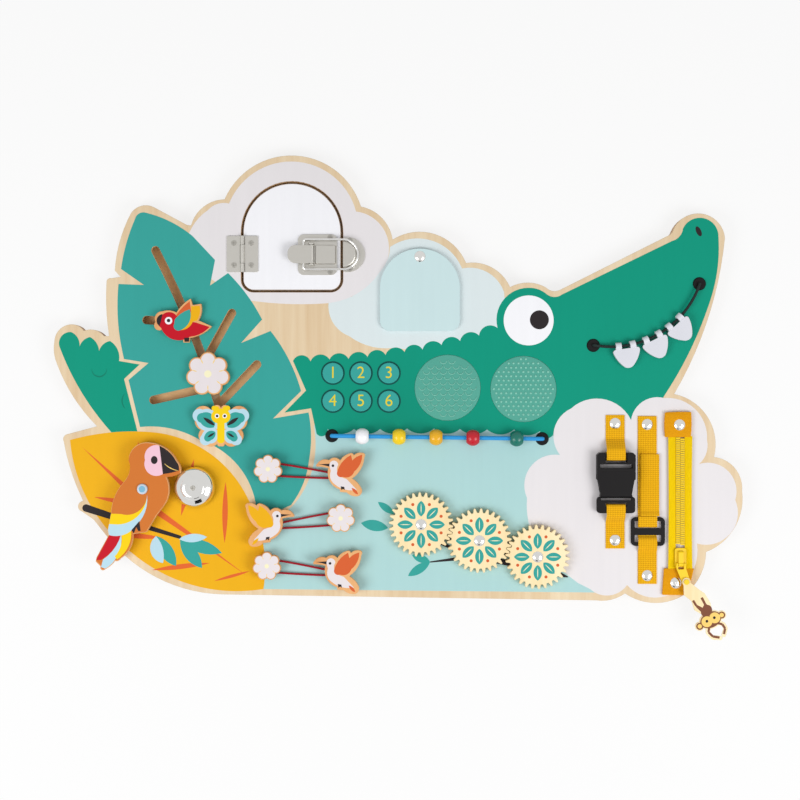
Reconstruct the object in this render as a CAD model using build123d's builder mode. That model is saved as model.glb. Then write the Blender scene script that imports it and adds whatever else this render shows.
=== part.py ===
from build123d import *

import os
from math import acos, atan2, cos, degrees, hypot, radians, sin

# Wooden busy board: a flat activity board cut to the outline of a long-snouted reptile
# lying among leaves and clouds. X runs to the snout, Y to the top edge and Z up from the back
# face, all in millimetres. The origin is on the back face, at the middle of the board's length.

os.makedirs("parts", exist_ok=True)

# ---- driving dimensions -------------------------------------------------------------------
# board
back_thickness = 3.0
panel_thickness = 10.0
edge_taper = 40  # degrees
run_gap = 0.3  # air between pieces that pass each other
pin_gap = 0.05  # radial air round a pin or a shank
seat_gap = 0.1  # air under a piece that lies on another

# door in the upper cloud
door_x = -92.4
door_foot_y = 77.6
door_width = 85.0
door_height = 92.8
door_thickness = 5.0
door_corner = 9.0
door_gap = 1.8
door_left = door_x - door_width / 2
door_right = door_x + door_width / 2

# butt hinge on the door's left edge
hinge_pin_out = 0.7  # beyond the door's edge
hinge_pin_x = door_left - hinge_pin_out
hinge_y = 108.9
hinge_length = 31.6
hinge_leaf = 1.0
hinge_leaf_width = 13.7  # from the pin to the leaf's edge
hinge_corner = 1.2
hinge_screw_out = 7.5  # from the pin
hinge_screw_side = 9.6  # from the hinge's middle
knuckle_radius = 1.85
hinge_pin_radius = 0.9
middle_knuckle = 16.6

# toggle latch on the door's right edge
latch_y = 108.3
latch_base_in = 20.3  # from the door's edge to the base's middle
latch_base_x = door_right - latch_base_in
latch_base_length = 34.0
latch_base_width = 35.4
latch_plate = 1.0
latch_block = 18.0
latch_pivot_in = 25.6
latch_pivot_x = door_right - latch_pivot_in
latch_pivot_height = 4.0  # above the door's face
latch_pivot_radius = 1.0
latch_lever_length = 20.4
latch_lever_width = 15.7
latch_lever_plate = 1.0
bail_pin_back = 6.7  # from the lever's pivot
bail_pin_rise = 0.6
bail_wire = 2.0
bail_radius = 12.9
bail_out = 2.0  # beyond the door's edge
bail_centre_x = door_right + bail_out
catch_reach = 15.2
catch_out = 5.9
catch_centre_x = door_right + catch_out
catch_height = 5.0

# screws
screw_radius = 1.2
screw_head_radius = 2.3
screw_head_height = 0.8
screw_length = 4.5
base_screw_out, base_screw_side = 11.0, 15.2  # from the base's middle
catch_screw_out, catch_screw_side = 2.0, 12.4

# swinging flap over the middle cloud
flap_x = 19.0
flap_foot_y = 41.9
flap_width = 69.4
flap_height = 71.5
flap_thickness = 3.0
flap_corner = 8.7
flap_rivet_y = 106.6

# slots in the leaf, cut along the leaf's veins, and the figures that slide in them
vein_centre = (-921.5, -256.5)
vein_radius = 800.0
vein_low, vein_high = 15.0, 27.44  # degrees
vein_branches = [  # joint on the main vein in degrees, and the branch's tip
    (22.5, (-219.3, 51.4)),
    (19.8, (-144.9, 57.5)),
    (18.2, (-213.2, -18.3)),
    (17.0, (-123.0, 12.6)),
]
slot_width = 7.5
slot_lip = 6.0  # depth of the narrow slot below the face
channel_width = 14.0
slider_pin_radius = 2.75
slider_foot_radius = 6.0
slider_foot = 2.5
slider_thickness = 5.0
bird_angle, flower_angle, butterfly_angle = 22.69, 19.03, 16.35

# elastic loops from flower knobs to hummingbirds
knob_rise = 5.0  # neck height under a knob
knob_thickness = 5.0
neck_radius = 5.2
perch_radius = 3.5
anchor_radius = 1.5
elastic_radius = 0.9
flower_knobs = [(-112.7, -78.2), (-49.7, -120.8), (-113.7, -162.2)]
hummingbird_spots = [(-48.8, -82.8), (-112.0, -126.4), (-51.4, -167.4)]
hummingbird_facing = [1, -1, 1]  # 1 looks to -X
anchor_back, anchor_drop = -10.2, -1.2
small_flower = 12.5
large_flower = 19.2
petals = 7

# parrot and bell
parrot_pivot = (-221.2, -95.3)
parrot_lift = 4.0
parrot_thickness = 7.0
parrot_pin_radius = 2.5
parrot_pin_head = 4.6
bell_centre = (-177.0, -94.2)
bell_radius = 17.9
bell_height = 12.5
bell_lift = 3.0
bell_wall = 0.8
bell_post_radius = 4.0

# push buttons
button_grid = (-32.4, -7.0)
button_pitch = 24.4
button_radius = 9.1
button_stand = 1.6  # cap above the face
button_travel = 2.0
button_flange = 1.6  # beyond the cap's radius
button_flange_thickness = 1.2
button_pocket = 4.0  # depth from the back of the front panel
spring_seat = 1.5  # depth in the back panel
spring_radius = 5.5
spring_wall = 2.4

# touch pads
pad_radius = 28.8
pad_centres = [(43.2, -7.6), (109.3, -8.7)]
pad_depth = 1.5
pad_stand = 0.3

# bead rail
rail_start = (-57.6, -49.4)
rail_end = (125.6, -52.0)
rail_cord_radius = 1.8
rail_bend = 5.0
bead_radius = 7.0
bead_flat = 5.6  # half the distance between a bead's flat ends
bead_places = [26.5, 58.5, 90.5, 122.5, 160.5]  # along the rail from its start
bead_gap = 0.1

# mouth cord and teeth, on one arc
mouth_centre = (185.6, 109.3)
mouth_radius = 81.4
mouth_angle_start, mouth_angle_end = -100.9, -18.8
mouth_cord_radius = 1.25
mouth_bend = 2.8
mouth_cord_height = 4.0  # above the face
tooth_angles = [-81.3, -64.0, -47.6]
tooth_half_width = 11.4
tooth_depth = 16.2
tooth_thickness = 4.0
tooth_loop_outer = 3.4
tooth_loop_arc = 3.5  # degrees of the mouth's arc
tooth_loop_spread = 4.4

# grommets
grommet_radius = 5.85
grommet_barrel = 3.6
grommet_flange = 1.4
grommet_depth = 6.0

# gears
gear_first = (20.0, -126.4)
gear_line = -15.5  # degrees
gear_module = 1.75
gear_teeth = 30
gear_thickness = 6.0
gear_lift = 1.0
gear_hub = 7.0
gear_backlash = 0.5

# dome rivets
rivet_shank = 2.2
rivet_head = 4.9
rivet_dome = 1.6
rivet_depth = 8.0

# straps
webbing = 1.0
webbing_width = 16.4
strap_over = 7.3  # strap beyond its rivet
buckle_x = 189.2
buckle_rivets = (-38.7, -140.4)
buckle_ends = (-64.1, -102.0, -116.6)  # socket's top, parting line, plug's end
buckle_half_width = 16.7
buckle_waist = 13.4
buckle_thickness = 9.0
end_bar = 4.4  # bar the webbing turns round
bar_half = 2.6  # half its thickness
buckle_window = 4.4
socket_step = -87.0
socket_slot = -74.1
socket_slot_half = 14.2
socket_depth = 22.0
cavity_rise = 2.4
plug_bar = 6.0
plug_window = 3.0
plug_slot_half = 13.0
tongue_half = 3.0
lug_low, lug_high = -97.4, -84.0
plug_thickness = 3.8
prong_outer = 10.6
prong_width = 2.2
prong_lug = 14.6
strap_x = 217.2
flap_shift = 2.0  # the folded layer lies off to the right
ring_x = 217.6
strap_rivets = (-39.6, -171.3)
strap_flap_end = -65.4
ring_y = -132.9
ring_width = 29.6
ring_height = 24.9
ring_thickness = 2.6
ring_bar = 3.2
ring_middle = 6.0
ring_lift = 1.3  # air for the straps under the bars

# zip
zip_x = 245.6
zip_rivets = [(245.0, -39.9), (241.7, -177.5)]
zip_cover_top = (-28.8, -50.6)
zip_cover_width = 22.6
zip_cover_x = 243.8
zip_cover_corners = [  # lower cover
    (231.5, -164.6),
    (257.8, -164.6),
    (254.6, -177.9),
    (249.0, -188.6),
    (229.8, -188.0),
]
zip_cover_thickness = 3.0
zip_tape_half = 10.6
zip_tape_lift = 2.2  # above the face
zip_tape_thickness = 0.6
zip_tooth_half = 3.8
zip_tooth_pitch = 1.9
zip_tooth_width = 1.5
zip_tooth_height = 1.8
zip_slider_ends = (-147.0, -163.8)
zip_slider_plate = 1.0
zip_slider_half = 5.0
zip_pivot_y = -161.0
zip_pin_radius = 0.7
zip_lug_radius = 1.6
zip_lug_half = 2.2
pull_eye_radius = 1.4
pull_notch = 6.2  # room for the slider's bridge between the pull's eyes
pull_half_width = 4.2
pull_thickness = 1.4
tag_spot = (250.0, -176.0)  # pin that carries the tag
tag_pin_radius = 1.4
tag_thickness = 1.6
tag_body = [  # from the tag's pin
    (-2.6, -1.0),
    (3.5, -0.6),
    (10.5, -6.3),
    (15.7, -9.8),
    (20.5, -17.6),
    (22.2, -24.6),
    (17.4, -29.8),
    (13.1, -28.1),
    (7.0, -24.6),
    (4.4, -16.7),
    (-2.2, -11.5),
]
tag_head, tag_head_turn = (20.9, -32.7), 26.6
tag_ears = [(11.3, -38.5), (30.5, -28.5)]
tag_arms = [
    [(25.3, -35.0), (31.8, -36.4), (34.0, -40.3), (32.3, -46.0)],
    [(19.6, -37.5), (18.3, -43.8), (22.7, -48.1), (29.2, -48.6)],
]
tag_arm_width = 3.6

# ---- levels -------------------------------------------------------------------------------
panel_z = back_thickness
face_z = back_thickness + panel_thickness
board_level = Plane.XY.offset(0)
panel_level = Plane.XY.offset(panel_z)
face_level = Plane.XY.offset(face_z)

# The board's outline, clockwise from the left end of the upper cloud. Each step is a point
# on the way, or None for a straight edge, and the corner where the step ends.
outline_start = (-151.3, 156.7)
outline_steps = [
    ((-92.0, 194.9), (-32.3, 150.4)),  # clouds
    ((-14.8, 141.3), (-4.7, 121.6)),
    ((27.9, 127.5), (59.3, 101.2)),
    ((81.1, 97.7), (97.7, 80.2)),
    ((113.4, 84.1), (129.1, 79.8)),  # brow
    ((135.2, 76.7), (141.3, 77.8)),
    (None, (235.4, 125.0)),  # snout
    ((238.3, 126.9), (239.8, 129.5)),
    ((262.5, 144.4), (285.1, 123.0)),
    ((272.9, 61.0), (240.8, -13.1)),
    ((268.6, -31.0), (275.6, -68.0)),  # lower cloud
    ((293.4, -77.2), (300.0, -97.7)),
    ((293.9, -129.1), (268.6, -150.9)),
    ((262.5, -173.5), (248.5, -188.9)),
    ((223.2, -195.3), (197.9, -187.0)),
    ((186.6, -192.3), (172.7, -193.0)),
    (None, (-153.5, -187.8)),  # foot of the board
    ((-202.3, -177.0), (-250.3, -141.7)),  # round leaf
    (None, (-265.5, -122.5)),
    (None, (-275.6, -115.5)),  # twig
    ((-279.0, -110.7), (-274.7, -106.4)),
    (None, (-276.0, -103.3)),
    ((-286.5, -75.9), (-291.6, -54.1)),
    ((-291.5, -50.3), (-289.5, -48.4)),
    (None, (-262.5, -41.2)),
    ((-282.5, -16.6), (-297.4, 13.1)),  # tail
    ((-300.0, 22.7), (-299.7, 32.7)),
    ((-295.2, 43.2), (-284.3, 47.7)),
    ((-278.2, 46.0), (-274.0, 42.0)),
    ((-265.1, 42.9), (-256.4, 37.5)),
    (None, (-252.0, 37.5)),
    ((-254.4, 61.9), (-254.2, 84.6)),  # cut leaf
    ((-253.1, 87.2), (-249.8, 87.9)),
    (None, (-242.0, 89.1)),
    (None, (-247.0, 94.5)),
    ((-242.4, 121.2), (-232.8, 144.8)),
    ((-225.8, 150.4), (-212.8, 149.8)),
    (None, (-184.0, 134.3)),
    (None, (-180.5, 134.0)),
    ((-170.0, 150.0), outline_start),
]


def place(centre, radius, angle):
    """Point at a polar angle, in degrees, about a centre."""
    return (centre[0] + radius * cos(radians(angle)), centre[1] + radius * sin(radians(angle)))


def draw_steps(start, steps, scale=1.0, flip=1):
    """Draw a closed outline of arcs and straight edges in the line being built."""

    def at(point):
        return (point[0] * scale * flip, point[1] * scale)

    here = at(start)
    for bulge, corner in steps:
        there = at(corner)
        if bulge is None:
            Line(here, there)
        else:
            ThreePointArc(here, at(bulge), there)
        here = there


def outline_face(start, steps, scale=1.0, flip=1):
    """Fill an outline in the sketch being built."""
    with BuildLine() as rim:
        draw_steps(start, steps, scale, flip)
    make_face(rim.edges())


def arch_face(x, foot_y, width, height, corner):
    """Fill a door shape: a half-round top on straight sides with rounded lower corners."""
    left, right = x - width / 2, x + width / 2
    spring_y = foot_y + height - width / 2
    near = corner * (1 - cos(radians(45)))
    with BuildLine() as rim:
        Line((left + corner, foot_y), (right - corner, foot_y))
        ThreePointArc(
            (right - corner, foot_y), (right - near, foot_y + near), (right, foot_y + corner)
        )
        Line((right, foot_y + corner), (right, spring_y))
        ThreePointArc((right, spring_y), (x, foot_y + height), (left, spring_y))
        Line((left, spring_y), (left, foot_y + corner))
        ThreePointArc(
            (left, foot_y + corner), (left + near, foot_y + near), (left + corner, foot_y)
        )
    make_face(rim.edges())


def flower_face(centre, radius):
    """Fill a flower of round petals."""
    petal = radius * 0.375
    with Locations(centre):
        Circle(radius - petal)
        with PolarLocations(radius - petal, petals, start_angle=90):
            Circle(petal)


def eased_plate(sketch, thickness, slope=0.6):
    """Extrude a sketch upward as a plate whose upper rim slopes in."""
    extrude(sketch, amount=thickness - slope)
    if slope:
        lifted = sketch.moved(Location((0, 0, thickness - slope)))
        extrude(lifted, amount=slope, taper=edge_taper)


def vein_faces(width):
    """Fill the net of slots: the main vein's arc and its straight branches."""
    with BuildLine(mode=Mode.PRIVATE) as vein:
        CenterArc(vein_centre, vein_radius, vein_low, vein_high - vein_low)
    SlotArc(vein.edges()[0], width)
    for angle, tip in vein_branches:
        joint = place(vein_centre, vein_radius, angle)
        middle = ((joint[0] + tip[0]) / 2, (joint[1] + tip[1]) / 2)
        run = (joint[0] - tip[0], joint[1] - tip[1])
        with Locations(middle):
            SlotCenterToCenter(hypot(*run), width, rotation=degrees(atan2(run[1], run[0])))


def mouth_drop(angle, turn):
    """The end of the mouth cord's arc, and the hole that its quarter bend drops into."""
    end = radians(angle) + turn * mouth_bend / mouth_radius
    joint = place(mouth_centre, mouth_radius, degrees(end))
    hole = (joint[0] + turn * mouth_bend * sin(end), joint[1] - turn * mouth_bend * cos(end))
    return joint, hole


def finish(part, name):
    """Label a finished piece and write it to its own file."""
    part.part.label = name
    export_step(part.part, f"parts/{name}.step")



# ---- shared places ------------------------------------------------------------------------
button_centres = [
    (button_grid[0] + column * button_pitch, button_grid[1] + row * button_pitch / 2)
    for row in (1, -1)
    for column in (-1, 0, 1)
]
rail_length = hypot(rail_end[0] - rail_start[0], rail_end[1] - rail_start[1])
rail_turn = degrees(atan2(rail_end[1] - rail_start[1], rail_end[0] - rail_start[0]))
rail_z = face_z + bead_radius + run_gap
rail_plane = Plane(
    origin=(*rail_start, 0),
    x_dir=(cos(radians(rail_turn)), sin(radians(rail_turn)), 0),
    z_dir=(sin(radians(rail_turn)), -cos(radians(rail_turn)), 0),
)
mouth_z = face_z + mouth_cord_height
mouth_drops = [mouth_drop(mouth_angle_start, 1), mouth_drop(mouth_angle_end, -1)]
mouth_holes = [hole for _, hole in mouth_drops]
gear_spacing = gear_module * gear_teeth
gear_centres = [place(gear_first, gear_spacing * i, gear_line) for i in range(3)]
gear_z = face_z + gear_lift
flap_z = face_z + run_gap
strap_z = face_z + seat_gap
zip_tape_z = face_z + zip_tape_lift
anchor_spots = [
    (x + anchor_back * facing, y + anchor_drop)
    for (x, y), facing in zip(hummingbird_spots, hummingbird_facing)
]
pin_z = face_z + knuckle_radius
slider_spots = [
    place(vein_centre, vein_radius, a) for a in (bird_angle, flower_angle, butterfly_angle)
]
rivets = [  # place and the height of the piece under the head
    ((flap_x, flap_rivet_y), flap_z + flap_thickness),
    *[(centre, gear_z + gear_thickness) for centre in gear_centres],
    *[((buckle_x, y), strap_z + webbing) for y in buckle_rivets],
    *[((strap_x, y), strap_z + webbing) for y in strap_rivets],
    *[(spot, face_z + seat_gap + zip_cover_thickness) for spot in zip_rivets],
]
hinge_screw_y = [hinge_y + side * hinge_screw_side for side in (-1, 1)]
frame_screw_x = hinge_pin_x - hinge_screw_out
door_screw_x = hinge_pin_x + hinge_screw_out
base_screws = [
    (latch_base_x + base_screw_out, latch_y + side * base_screw_side) for side in (-1, 1)
]
catch_screws = [
    (catch_centre_x + catch_screw_out, latch_y + side * catch_screw_side) for side in (-1, 1)
]
frame_screws = [(frame_screw_x, y) for y in hinge_screw_y]
door_screw_spots = [(door_screw_x, y) for y in hinge_screw_y] + base_screws

# ---- back panel ---------------------------------------------------------------------------
with BuildPart() as back_panel:
    with BuildSketch(board_level):
        outline_face(outline_start, outline_steps)
    extrude(amount=back_thickness)
    with BuildSketch(Plane.XY.offset(back_thickness)):
        with Locations(*button_centres):
            Circle(spring_radius + run_gap)
    extrude(amount=-spring_seat, mode=Mode.SUBTRACT)
finish(back_panel, "back_panel")

# ---- front panel --------------------------------------------------------------------------
with BuildPart() as front_panel:
    with BuildSketch(panel_level):
        outline_face(outline_start, outline_steps)
    extrude(amount=panel_thickness)
    with BuildSketch(panel_level):
        arch_face(
            door_x,
            door_foot_y - door_gap,
            door_width + 2 * door_gap,
            door_height + 2 * door_gap,
            door_corner + door_gap,
        )
        with Locations(*button_centres):
            Circle(button_radius + run_gap)
    extrude(amount=panel_thickness, mode=Mode.SUBTRACT)
    with BuildSketch(panel_level):
        with Locations(*button_centres):
            Circle(button_radius + button_flange + run_gap)
    extrude(amount=button_pocket, mode=Mode.SUBTRACT)
    with BuildSketch(face_level):
        vein_faces(slot_width)
    extrude(amount=-panel_thickness, mode=Mode.SUBTRACT)
    with BuildSketch(panel_level):
        vein_faces(channel_width)
    extrude(amount=panel_thickness - slot_lip, mode=Mode.SUBTRACT)
    with BuildSketch(face_level):
        with Locations(*pad_centres):
            Circle(pad_radius + seat_gap)
    extrude(amount=-pad_depth, mode=Mode.SUBTRACT)
    with BuildSketch(face_level):
        with Locations(*mouth_holes, rail_start, rail_end):
            Circle(grommet_barrel + pin_gap)
    extrude(amount=-panel_thickness, mode=Mode.SUBTRACT)
    with BuildSketch(face_level):
        with Locations(*[spot for spot, _ in rivets]):
            Circle(rivet_shank + pin_gap)
    extrude(amount=-rivet_depth, mode=Mode.SUBTRACT)
    with BuildSketch(face_level):
        with Locations(parrot_pivot):
            Circle(parrot_pin_radius + pin_gap)
        with Locations(*anchor_spots):
            Circle(anchor_radius + pin_gap)
    extrude(amount=-rivet_depth, mode=Mode.SUBTRACT)
    with BuildSketch(face_level):
        with Locations(*frame_screws, *catch_screws, bell_centre):
            Circle(screw_radius + pin_gap)
    extrude(amount=-rivet_depth, mode=Mode.SUBTRACT)
finish(front_panel, "front_panel")

# ---- door and its hinge -------------------------------------------------------------------
with BuildPart() as door:
    with BuildSketch(Plane.XY.offset(face_z - door_thickness)):
        arch_face(door_x, door_foot_y, door_width, door_height, door_corner)
    extrude(amount=door_thickness)
    with BuildSketch(face_level):
        with Locations(*door_screw_spots):
            Circle(screw_radius + pin_gap)
    extrude(amount=-door_thickness, mode=Mode.SUBTRACT)
finish(door, "door")


def hinge_leaf_part(side, knuckles, cuts):
    """Leaf on one side of the pin. Knuckles and cuts are each a middle and a length along Y."""
    with BuildPart() as leaf:
        with BuildSketch(face_level) as leaf_sketch:
            with Locations((hinge_pin_x + side * hinge_leaf_width / 2, hinge_y)):
                Rectangle(hinge_leaf_width, hinge_length)
            corners = leaf_sketch.vertices().sort_by(Axis.X)
            fillet(corners[:2] if side < 0 else corners[-2:], hinge_corner)
            for middle, length in cuts:
                with Locations((hinge_pin_x, middle)):
                    Rectangle(2 * (knuckle_radius + run_gap), length, mode=Mode.SUBTRACT)
        extrude(amount=hinge_leaf)
        for middle, length in knuckles:
            with BuildSketch(Plane.XZ.offset(-middle - length / 2)):
                with Locations((hinge_pin_x, pin_z)):
                    Circle(knuckle_radius)
                with Locations((hinge_pin_x + side * knuckle_radius / 2, face_z + hinge_leaf / 2)):
                    Rectangle(knuckle_radius, hinge_leaf)
            extrude(amount=length)
        with BuildSketch(Plane.XZ.offset(-hinge_y - hinge_length / 2)):
            with Locations((hinge_pin_x, pin_z)):
                Circle(hinge_pin_radius + pin_gap)
        extrude(amount=hinge_length, mode=Mode.SUBTRACT)
        with BuildSketch(face_level):
            with Locations(*[(hinge_pin_x + side * hinge_screw_out, y) for y in hinge_screw_y]):
                Circle(screw_radius + pin_gap)
        extrude(amount=hinge_leaf, mode=Mode.SUBTRACT)
    return leaf


end_knuckle = (hinge_length - middle_knuckle) / 2
end_shift = (middle_knuckle + end_knuckle) / 2
ends = [hinge_y - end_shift, hinge_y + end_shift]
hinge_leaf_frame = hinge_leaf_part(
    -1, [(y, end_knuckle) for y in ends], [(hinge_y, middle_knuckle)]
)
finish(hinge_leaf_frame, "hinge_leaf_frame")
hinge_leaf_door = hinge_leaf_part(
    1,
    [(hinge_y, middle_knuckle - 2 * run_gap)],
    [(y, end_knuckle + 2 * run_gap) for y in ends],
)
finish(hinge_leaf_door, "hinge_leaf_door")

with BuildPart() as hinge_pin:
    with BuildSketch(Plane.XZ.offset(-hinge_y - hinge_length / 2)):
        with Locations((hinge_pin_x, pin_z)):
            Circle(hinge_pin_radius)
    extrude(amount=hinge_length)
finish(hinge_pin, "hinge_pin")


def screws_part(spots, under_head_z):
    """Pan-head screws with cross recesses, standing at the given places and heights."""
    with BuildPart() as screws:
        for spot, z in zip(spots, under_head_z):
            with BuildSketch(Plane.XY.offset(z)):
                with Locations(spot):
                    Circle(screw_head_radius)
            extrude(amount=screw_head_height)
            with BuildSketch(Plane.XY.offset(z + screw_head_height)):
                with Locations(spot):
                    Rectangle(screw_head_radius * 1.2, screw_head_height / 2)
                    Rectangle(screw_head_height / 2, screw_head_radius * 1.2)
            extrude(amount=-screw_head_height / 2, mode=Mode.SUBTRACT)
            with BuildSketch(Plane.XY.offset(z)):
                with Locations(spot):
                    Circle(screw_radius)
            extrude(amount=-screw_length)
    return screws


plate_top = face_z + hinge_leaf
latch_plate_top = face_z + latch_plate
bell_rim_z = face_z + bell_lift
bell_top = bell_rim_z + bell_height
finish(
    screws_part(
        frame_screws + catch_screws + [bell_centre],
        [plate_top] * 2 + [latch_plate_top] * 2 + [bell_top],
    ),
    "panel_screws",
)
finish(
    screws_part(door_screw_spots, [plate_top] * 2 + [latch_plate_top] * 2), "door_screws"
)

# ---- toggle latch -------------------------------------------------------------------------
latch_pivot_z = face_z + latch_pivot_height
bail_pin_x = latch_pivot_x - bail_pin_back
bail_z = latch_pivot_z + bail_pin_rise
lever_half = latch_lever_width / 2
ear_in = lever_half + 2 * run_gap
ear_thickness = 1.2
lever_end = latch_pivot_height - latch_plate - run_gap  # radius of the lever about its pivot
lever_top = latch_pivot_z + bail_pin_rise + bail_wire / 2 + run_gap + latch_lever_plate

with BuildPart() as latch_base:
    with BuildSketch(face_level):
        with Locations((latch_base_x, latch_y)):
            RectangleRounded(latch_base_length, latch_base_width, 5)
    extrude(amount=latch_plate)
    with BuildSketch(Plane.XY.offset(latch_plate_top)):
        with Locations((latch_base_x + latch_base_length / 2 - latch_block / 2 - 1, latch_y)):
            RectangleRounded(latch_block, 2 * lever_half + 1, 1.5)
    extrude(amount=latch_pivot_height / 2)
    chamfer(latch_base.faces().sort_by(Axis.Z)[-1].edges(), 0.6)
    for side in (-1, 1):
        outer_y = latch_y + side * (ear_in + ear_thickness / 2) + ear_thickness / 2
        with BuildSketch(Plane.XZ.offset(-outer_y)):
            with Locations((latch_pivot_x, latch_pivot_z)):
                Circle(lever_end)
            with Locations((latch_pivot_x, (latch_pivot_z + latch_plate_top) / 2)):
                Rectangle(2 * lever_end, latch_pivot_z - latch_plate_top)
        extrude(amount=ear_thickness)
    with BuildSketch(Plane.XZ.offset(-latch_y - ear_in)):
        with Locations((latch_pivot_x, latch_pivot_z)):
            Circle(latch_pivot_radius)
    extrude(amount=2 * ear_in)
    with BuildSketch(face_level):
        with Locations(*base_screws):
            Circle(screw_radius + pin_gap)
    extrude(amount=latch_plate, mode=Mode.SUBTRACT)
finish(latch_base, "latch_base")

lever_tip_x = latch_pivot_x - latch_lever_length
cheek_foot = latch_pivot_z - lever_end / 2
with BuildPart() as latch_lever:
    with BuildSketch(Plane.XZ.offset(-latch_y - lever_half)):  # side view
        with Locations((latch_pivot_x, latch_pivot_z)):
            Circle(lever_end)
        with BuildLine():
            Polyline(
                (latch_pivot_x, latch_pivot_z - lever_end),
                (latch_pivot_x, lever_top),
                (lever_tip_x, lever_top),
                (lever_tip_x, lever_top - latch_lever_plate),
                (bail_pin_x - 5, lever_top - latch_lever_plate),
                (bail_pin_x - 2.4, cheek_foot),
                close=True,
            )
        make_face()
        with Locations((bail_pin_x, bail_z)):
            Circle(bail_wire / 2 + pin_gap, mode=Mode.SUBTRACT)
        with Locations((latch_pivot_x, latch_pivot_z)):
            Circle(latch_pivot_radius + pin_gap, mode=Mode.SUBTRACT)
    extrude(amount=latch_lever_width)
    with BuildSketch(Plane.XY.offset(latch_plate_top)):  # hollow between the cheeks
        with Locations((latch_pivot_x - latch_lever_length / 2, latch_y)):
            Rectangle(2 * latch_lever_length, latch_lever_width - 2 * latch_lever_plate)
    extrude(amount=lever_top - latch_lever_plate - latch_plate_top, mode=Mode.SUBTRACT)
    tip_edges = latch_lever.edges().filter_by(Axis.Z).sort_by(Axis.X)[:2]
    fillet(tip_edges, lever_half * 0.85)
finish(latch_lever, "latch_lever")

with BuildPart() as latch_bail:
    hook_in = lever_half - latch_lever_plate - pin_gap
    bail_bend = 2.2
    with BuildLine(Plane.XY.offset(bail_z)) as bail_path:
        for side in (-1, 1):
            leg_y = latch_y + side * bail_radius
            FilletPolyline(
                (bail_pin_x, latch_y + side * hook_in),
                (bail_pin_x, leg_y),
                (bail_centre_x, leg_y),
                radius=bail_bend,
            )
        ThreePointArc(
            (bail_centre_x, latch_y - bail_radius),
            (bail_centre_x + bail_radius, latch_y),
            (bail_centre_x, latch_y + bail_radius),
        )
    with BuildSketch(Plane.XZ.offset(-latch_y + hook_in)):
        with Locations((bail_pin_x, bail_z)):
            Circle(bail_wire / 2)
    sweep(path=bail_path.wires()[0])
finish(latch_bail, "latch_bail")

with BuildPart() as latch_catch:
    door_edge = door_right + door_gap + run_gap
    with BuildSketch(face_level):
        with Locations((catch_centre_x, latch_y)):
            Circle(catch_reach)
        with Locations((door_edge - catch_reach, latch_y)):
            Rectangle(2 * catch_reach, 2 * catch_reach, mode=Mode.SUBTRACT)
    extrude(amount=latch_plate)
    with BuildSketch(Plane.XY.offset(latch_plate_top)):
        with Locations((bail_centre_x, latch_y)):
            Circle(bail_radius - bail_wire / 2 - 2 * run_gap)
        with Locations((door_edge - catch_reach, latch_y)):
            Rectangle(2 * catch_reach, 2 * catch_reach, mode=Mode.SUBTRACT)
    extrude(amount=catch_height)
    fillet(latch_catch.faces().sort_by(Axis.Z)[-1].edges().sort_by(Axis.X)[1:], 1.2)
    with BuildSketch(face_level):
        with Locations(*catch_screws):
            Circle(screw_radius + pin_gap)
    extrude(amount=latch_plate, mode=Mode.SUBTRACT)
finish(latch_catch, "latch_catch")

# ---- swinging flap ------------------------------------------------------------------------
with BuildPart() as swing_flap:
    with BuildSketch(Plane.XY.offset(flap_z)):
        arch_face(flap_x, flap_foot_y, flap_width, flap_height, flap_corner)
        with Locations((flap_x, flap_rivet_y)):
            Circle(rivet_shank + pin_gap, mode=Mode.SUBTRACT)
    extrude(amount=flap_thickness)
finish(swing_flap, "swing_flap")

# ---- dome rivets --------------------------------------------------------------------------
with BuildPart() as dome_rivets:
    for spot, seat in rivets:
        depth = seat - face_z + rivet_depth
        with BuildSketch(Plane(origin=(*spot, seat), x_dir=(1, 0, 0), z_dir=(0, -1, 0))):
            with BuildLine():
                ThreePointArc(
                    (0, rivet_dome),
                    (rivet_head * 0.7, rivet_dome * 0.66),
                    (rivet_head, 0),
                )
                Polyline(
                    (rivet_head, 0), (rivet_shank, 0), (rivet_shank, -depth), (0, -depth), (0, rivet_dome)
                )
            make_face()
        revolve(axis=Axis((*spot, 0), (0, 0, 1)))
finish(dome_rivets, "dome_rivets")

# ---- figures that slide in the slots ------------------------------------------------------
bird_start = (-27.3, -2.6)
bird_steps = [
    ((-27.0, 3.6), (-21.5, 6.6)),  # head
    ((-15.0, 7.4), (-9.0, 5.6)),
    ((-2.5, 13.5), (3.2, 17.6)),  # raised wings
    (None, (5.0, 12.0)),
    (None, (12.3, 13.2)),
    ((12.6, 6.0), (10.0, -1.2)),
    (None, (21.6, -6.4)),  # tail
    ((10.0, -14.4), (2.6, -16.4)),
    (None, (2.0, -20.4)),  # feet
    (None, (-3.0, -20.4)),
    (None, (-3.6, -16.8)),
    ((-15.0, -15.4), (-21.4, -8.8)),
    ((-24.6, -9.8), bird_start),  # beak
]
butterfly_start = (0, 5.3)
butterfly_half = [
    ((2.4, 8.5), (6.4, 7.1)),
    ((7.6, 4.9), (8.8, 4.5)),
    ((22.0, 4.7), (22.6, -4.7)),  # upper wing
    ((21.6, -9.5), (17.4, -12.9)),
    ((19.4, -18.7), (15.4, -24.1)),  # lower wing
    ((8.6, -27.5), (3.2, -24.9)),
    ((2.0, -27.1), (0, -27.1)),
]


def mirrored_steps(start, half):
    """Complete a left-right symmetric outline from its right half."""
    corners = [start] + [corner for _, corner in half]
    back = []
    for i in range(len(half) - 1, -1, -1):
        bulge = half[i][0]
        back.append(((-bulge[0], bulge[1]) if bulge else None, (-corners[i][0], corners[i][1])))
    return half + back


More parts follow.
